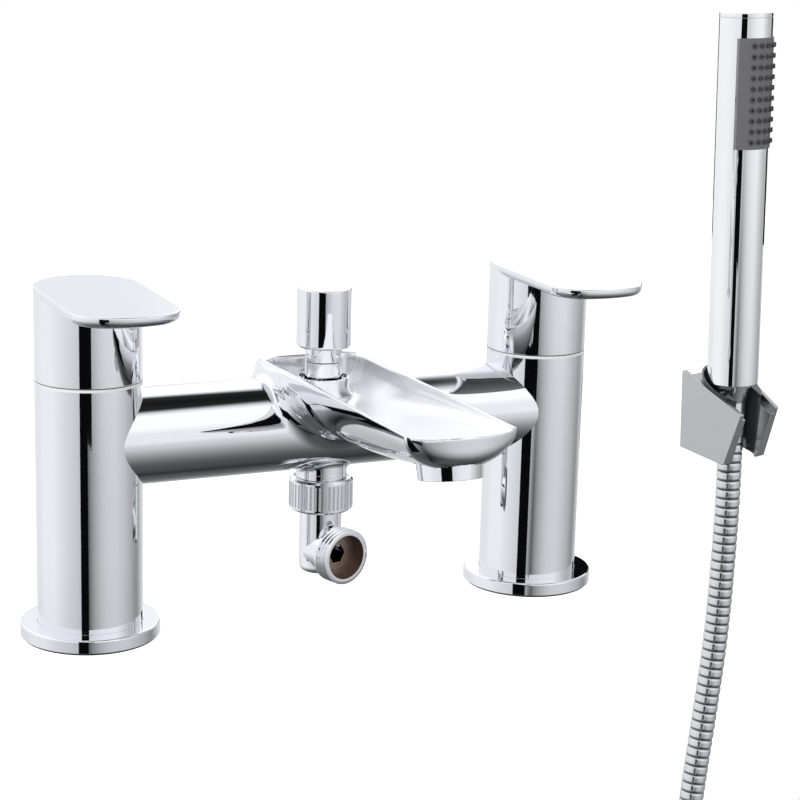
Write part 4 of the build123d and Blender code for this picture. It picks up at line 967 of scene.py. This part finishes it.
class MIXER_OT_chrome(bpy.types.Operator):
    bl_idname = "mixer.chrome"
    bl_label = "Chrome parts"

    # Height of the outlet's axis, its turn from straight ahead and the spacing of its tool marks
    outlet_height, outlet_turn, ring_spacing = 0.0224, radians(16.7), 0.9
    # Distances from the tube's axis, in millimetres, over which the pad's frame darkens
    frame_start, frame_end = 12.55, 12.75

    def execute(self, context):
        lit = context.scene.mixer_finish
        haze = lit.chrome_haze
        chrome, *_ = grained(
            "bright_chrome", tuple(lit.chrome_colour), 1.0, haze, haze + 0.02, scale=70.0, mottle=0.03,
            relief=0.000004, edge=lit.edge_radius,
        )
        dress(CHROME_NODES, chrome)
        elbow, tree, shader, _ = grained(
            "elbow_chrome", tuple(lit.chrome_colour), 1.0, haze, haze + 0.02, scale=70.0, mottle=0.03,
            relief=0.000004, edge=lit.edge_radius * 0.6,
        )
        self.mouth(tree, shader, lit)
        dress(("outlet_elbow",), elbow)
        handset, *_ = grained(
            "handset_chrome", tuple(lit.handset_colour), 1.0, haze, haze + 0.02, scale=90.0, mottle=0.05,
            edge=lit.edge_radius * 0.5,
        )
        dress(("handset_cap",), handset)
        tube, tree, shader, _ = grained(
            "tube_chrome", tuple(lit.handset_colour), 1.0, haze, haze + 0.02, scale=90.0, mottle=0.05,
            edge=lit.edge_radius * 0.5,
        )
        out, _ = placed(tree, KIT_FOOT, KIT_ALONG, KIT_UP)
        frame = between(tree, out, self.frame_start, self.frame_end)
        tinted(tree, shader, frame, (0.30, 0.30, 0.30))
        dress(("handset_tube",), tube)
        bracket, *_ = grained(
            "bracket_chrome", tuple(lit.bracket_colour), 1.0, 0.30, 0.33, scale=120.0, mottle=0.03,
            relief=0.000006, edge=lit.edge_radius * 1.6,
        )
        dress(("bracket_body",), bracket)
        nut, *_ = grained(
            "knurled_chrome", tuple(lit.chrome_colour), 1.0, 0.08, 0.16, scale=300.0, mottle=0.08,
            relief=0.00001, edge=lit.edge_radius * 0.5,
        )
        dress(("union_nut",), nut)
        return {"FINISHED"}

    def mouth(self, tree, shader, lit):
        """Bare turned brass inside the outlet's mouth: warmer, rougher and ringed by the tool."""
        side = Vector((cos(self.outlet_turn), sin(self.outlet_turn), 0))
        way = Vector((sin(self.outlet_turn), -cos(self.outlet_turn), 0))
        out, along = placed(tree, (0, 0, self.outlet_height), side, way)
        inside = tree.maths("MULTIPLY", between(tree, out, 8.5, 8.4), between(tree, along, 9.3, 9.5))
        tinted(tree, shader, inside, tuple(lit.mouth_colour))
        rings = tree.maths("PINGPONG", out, self.ring_spacing)
        grooves = tree.maths("MULTIPLY", between(tree, rings, 0.75, self.ring_spacing), inside)
        tinted(tree, shader, grooves, tuple(part * 0.35 for part in lit.mouth_colour))
        roughened(tree, shader, inside, 0.4)


class MIXER_OT_moulded(bpy.types.Operator):
    """Gives the rubber, plastic, ceramic, steel and brass parts their finishes."""

    bl_idname = "mixer.moulded"
    bl_label = "Moulded and machined parts"

    def execute(self, context):
        lit = context.scene.mixer_finish
        trims = ("left_trim_ring", "right_trim_ring")
        plastics = ("aerator_insert", "handset_waterway")
        # Name, colour, metallic, roughness low and high, scale, mottle and relief, with the nodes
        plain = (
            (("black_rubber", (0.03, 0.03, 0.032), 0.0, 0.45, 0.62, 400.0, 0.2, 0.00003), RUBBER_NODES),
            (("plain_steel", (0.62, 0.62, 0.63), 1.0, 0.18, 0.3, 500.0, 0.1, 0.00001), STEEL_NODES),
            (("machined_brass", (0.72, 0.53, 0.26), 1.0, 0.16, 0.28, 500.0, 0.12, 0.00001), BRASS_NODES),
            (("ground_ceramic", (0.86, 0.85, 0.82), 0.0, 0.12, 0.2, 600.0, 0.04), CERAMIC_NODES),
            (("light_ring", (0.84, 0.85, 0.87), 0.0, 0.2, 0.3, 300.0, 0.04), trims),
            (("white_plastic", (0.80, 0.80, 0.79), 0.0, 0.35, 0.48, 500.0, 0.05), plastics),
        )
        for values, nodes in plain:
            material, *_ = grained(*values)
            dress(nodes, material)
        cup, *_ = grained(
            "dark_liner", (0.035, 0.036, 0.04), 0.0, 0.07, 0.13, scale=200.0, mottle=0.2,
            relief=0.000008, edge=lit.edge_radius, Coat_Weight=0.6, Coat_Roughness=0.05,
        )
        dress(("bracket_cup",), cup)
        pad, tree, shader, _ = grained(
            "grey_silicone", tuple(lit.silicone_colour), 0.0, 0.42, 0.56, scale=900.0, mottle=0.15,
            relief=0.00002,
        )
        out, _ = placed(tree, KIT_FOOT, KIT_ALONG, KIT_UP)
        tinted(tree, shader, between(tree, out, 13.3, 13.7), tuple(lit.nozzle_colour))
        dress(("nozzle_pad",), pad)
        return {"FINISHED"}


class MIXER_PT_panel(bpy.types.Panel):
    """Lists the studio, the body, the hose and the finishes with their values."""

    bl_idname = "MIXER_PT_panel"
    bl_label = "Bath shower mixer"
    bl_space_type = "VIEW_3D"
    bl_region_type = "UI"
    bl_category = "Mixer"

    def draw(self, context):
        layout = self.layout
        for group, operators in LISTED:
            box = layout.box()
            settings = getattr(context.scene, group)
            for name in settings.bl_rna.properties.keys():
                if name not in ("rna_type", "name"):
                    box.prop(settings, name)
            for operator in operators:
                box.operator(operator)


LISTED = (
    ("mixer_studio", ("mixer.stage",)),
    ("mixer_body", ("mixer.body",)),
    ("mixer_hose", ("mixer.hose",)),
    ("mixer_finish", ("mixer.chrome", "mixer.moulded")),
)
CLASSES = (
    MixerFinishSettings, MixerHoseSettings, MixerBodySettings, MixerStudioSettings, MIXER_OT_stage,
    MIXER_OT_body, MIXER_OT_hose, MIXER_OT_chrome, MIXER_OT_moulded, MIXER_PT_panel,
)


def register():
    """Adds the classes and the settings to Blender."""
    for kind in CLASSES:
        bpy.utils.register_class(kind)
    bpy.types.Scene.mixer_finish = bpy.props.PointerProperty(type=MixerFinishSettings)
    bpy.types.Scene.mixer_hose = bpy.props.PointerProperty(type=MixerHoseSettings)
    bpy.types.Scene.mixer_body = bpy.props.PointerProperty(type=MixerBodySettings)
    bpy.types.Scene.mixer_studio = bpy.props.PointerProperty(type=MixerStudioSettings)


def unregister():
    """Takes the settings and the classes out again."""
    del bpy.types.Scene.mixer_studio
    del bpy.types.Scene.mixer_body
    del bpy.types.Scene.mixer_hose
    del bpy.types.Scene.mixer_finish
    for kind in reversed(CLASSES):
        bpy.utils.unregister_class(kind)


def main():
    """Builds the studio and every piece."""
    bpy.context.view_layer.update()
    register()
    bpy.ops.mixer.stage()
    bpy.ops.mixer.body()
    bpy.ops.mixer.hose()
    bpy.ops.mixer.chrome()
    bpy.ops.mixer.moulded()


if __name__ == "__main__":
    main()
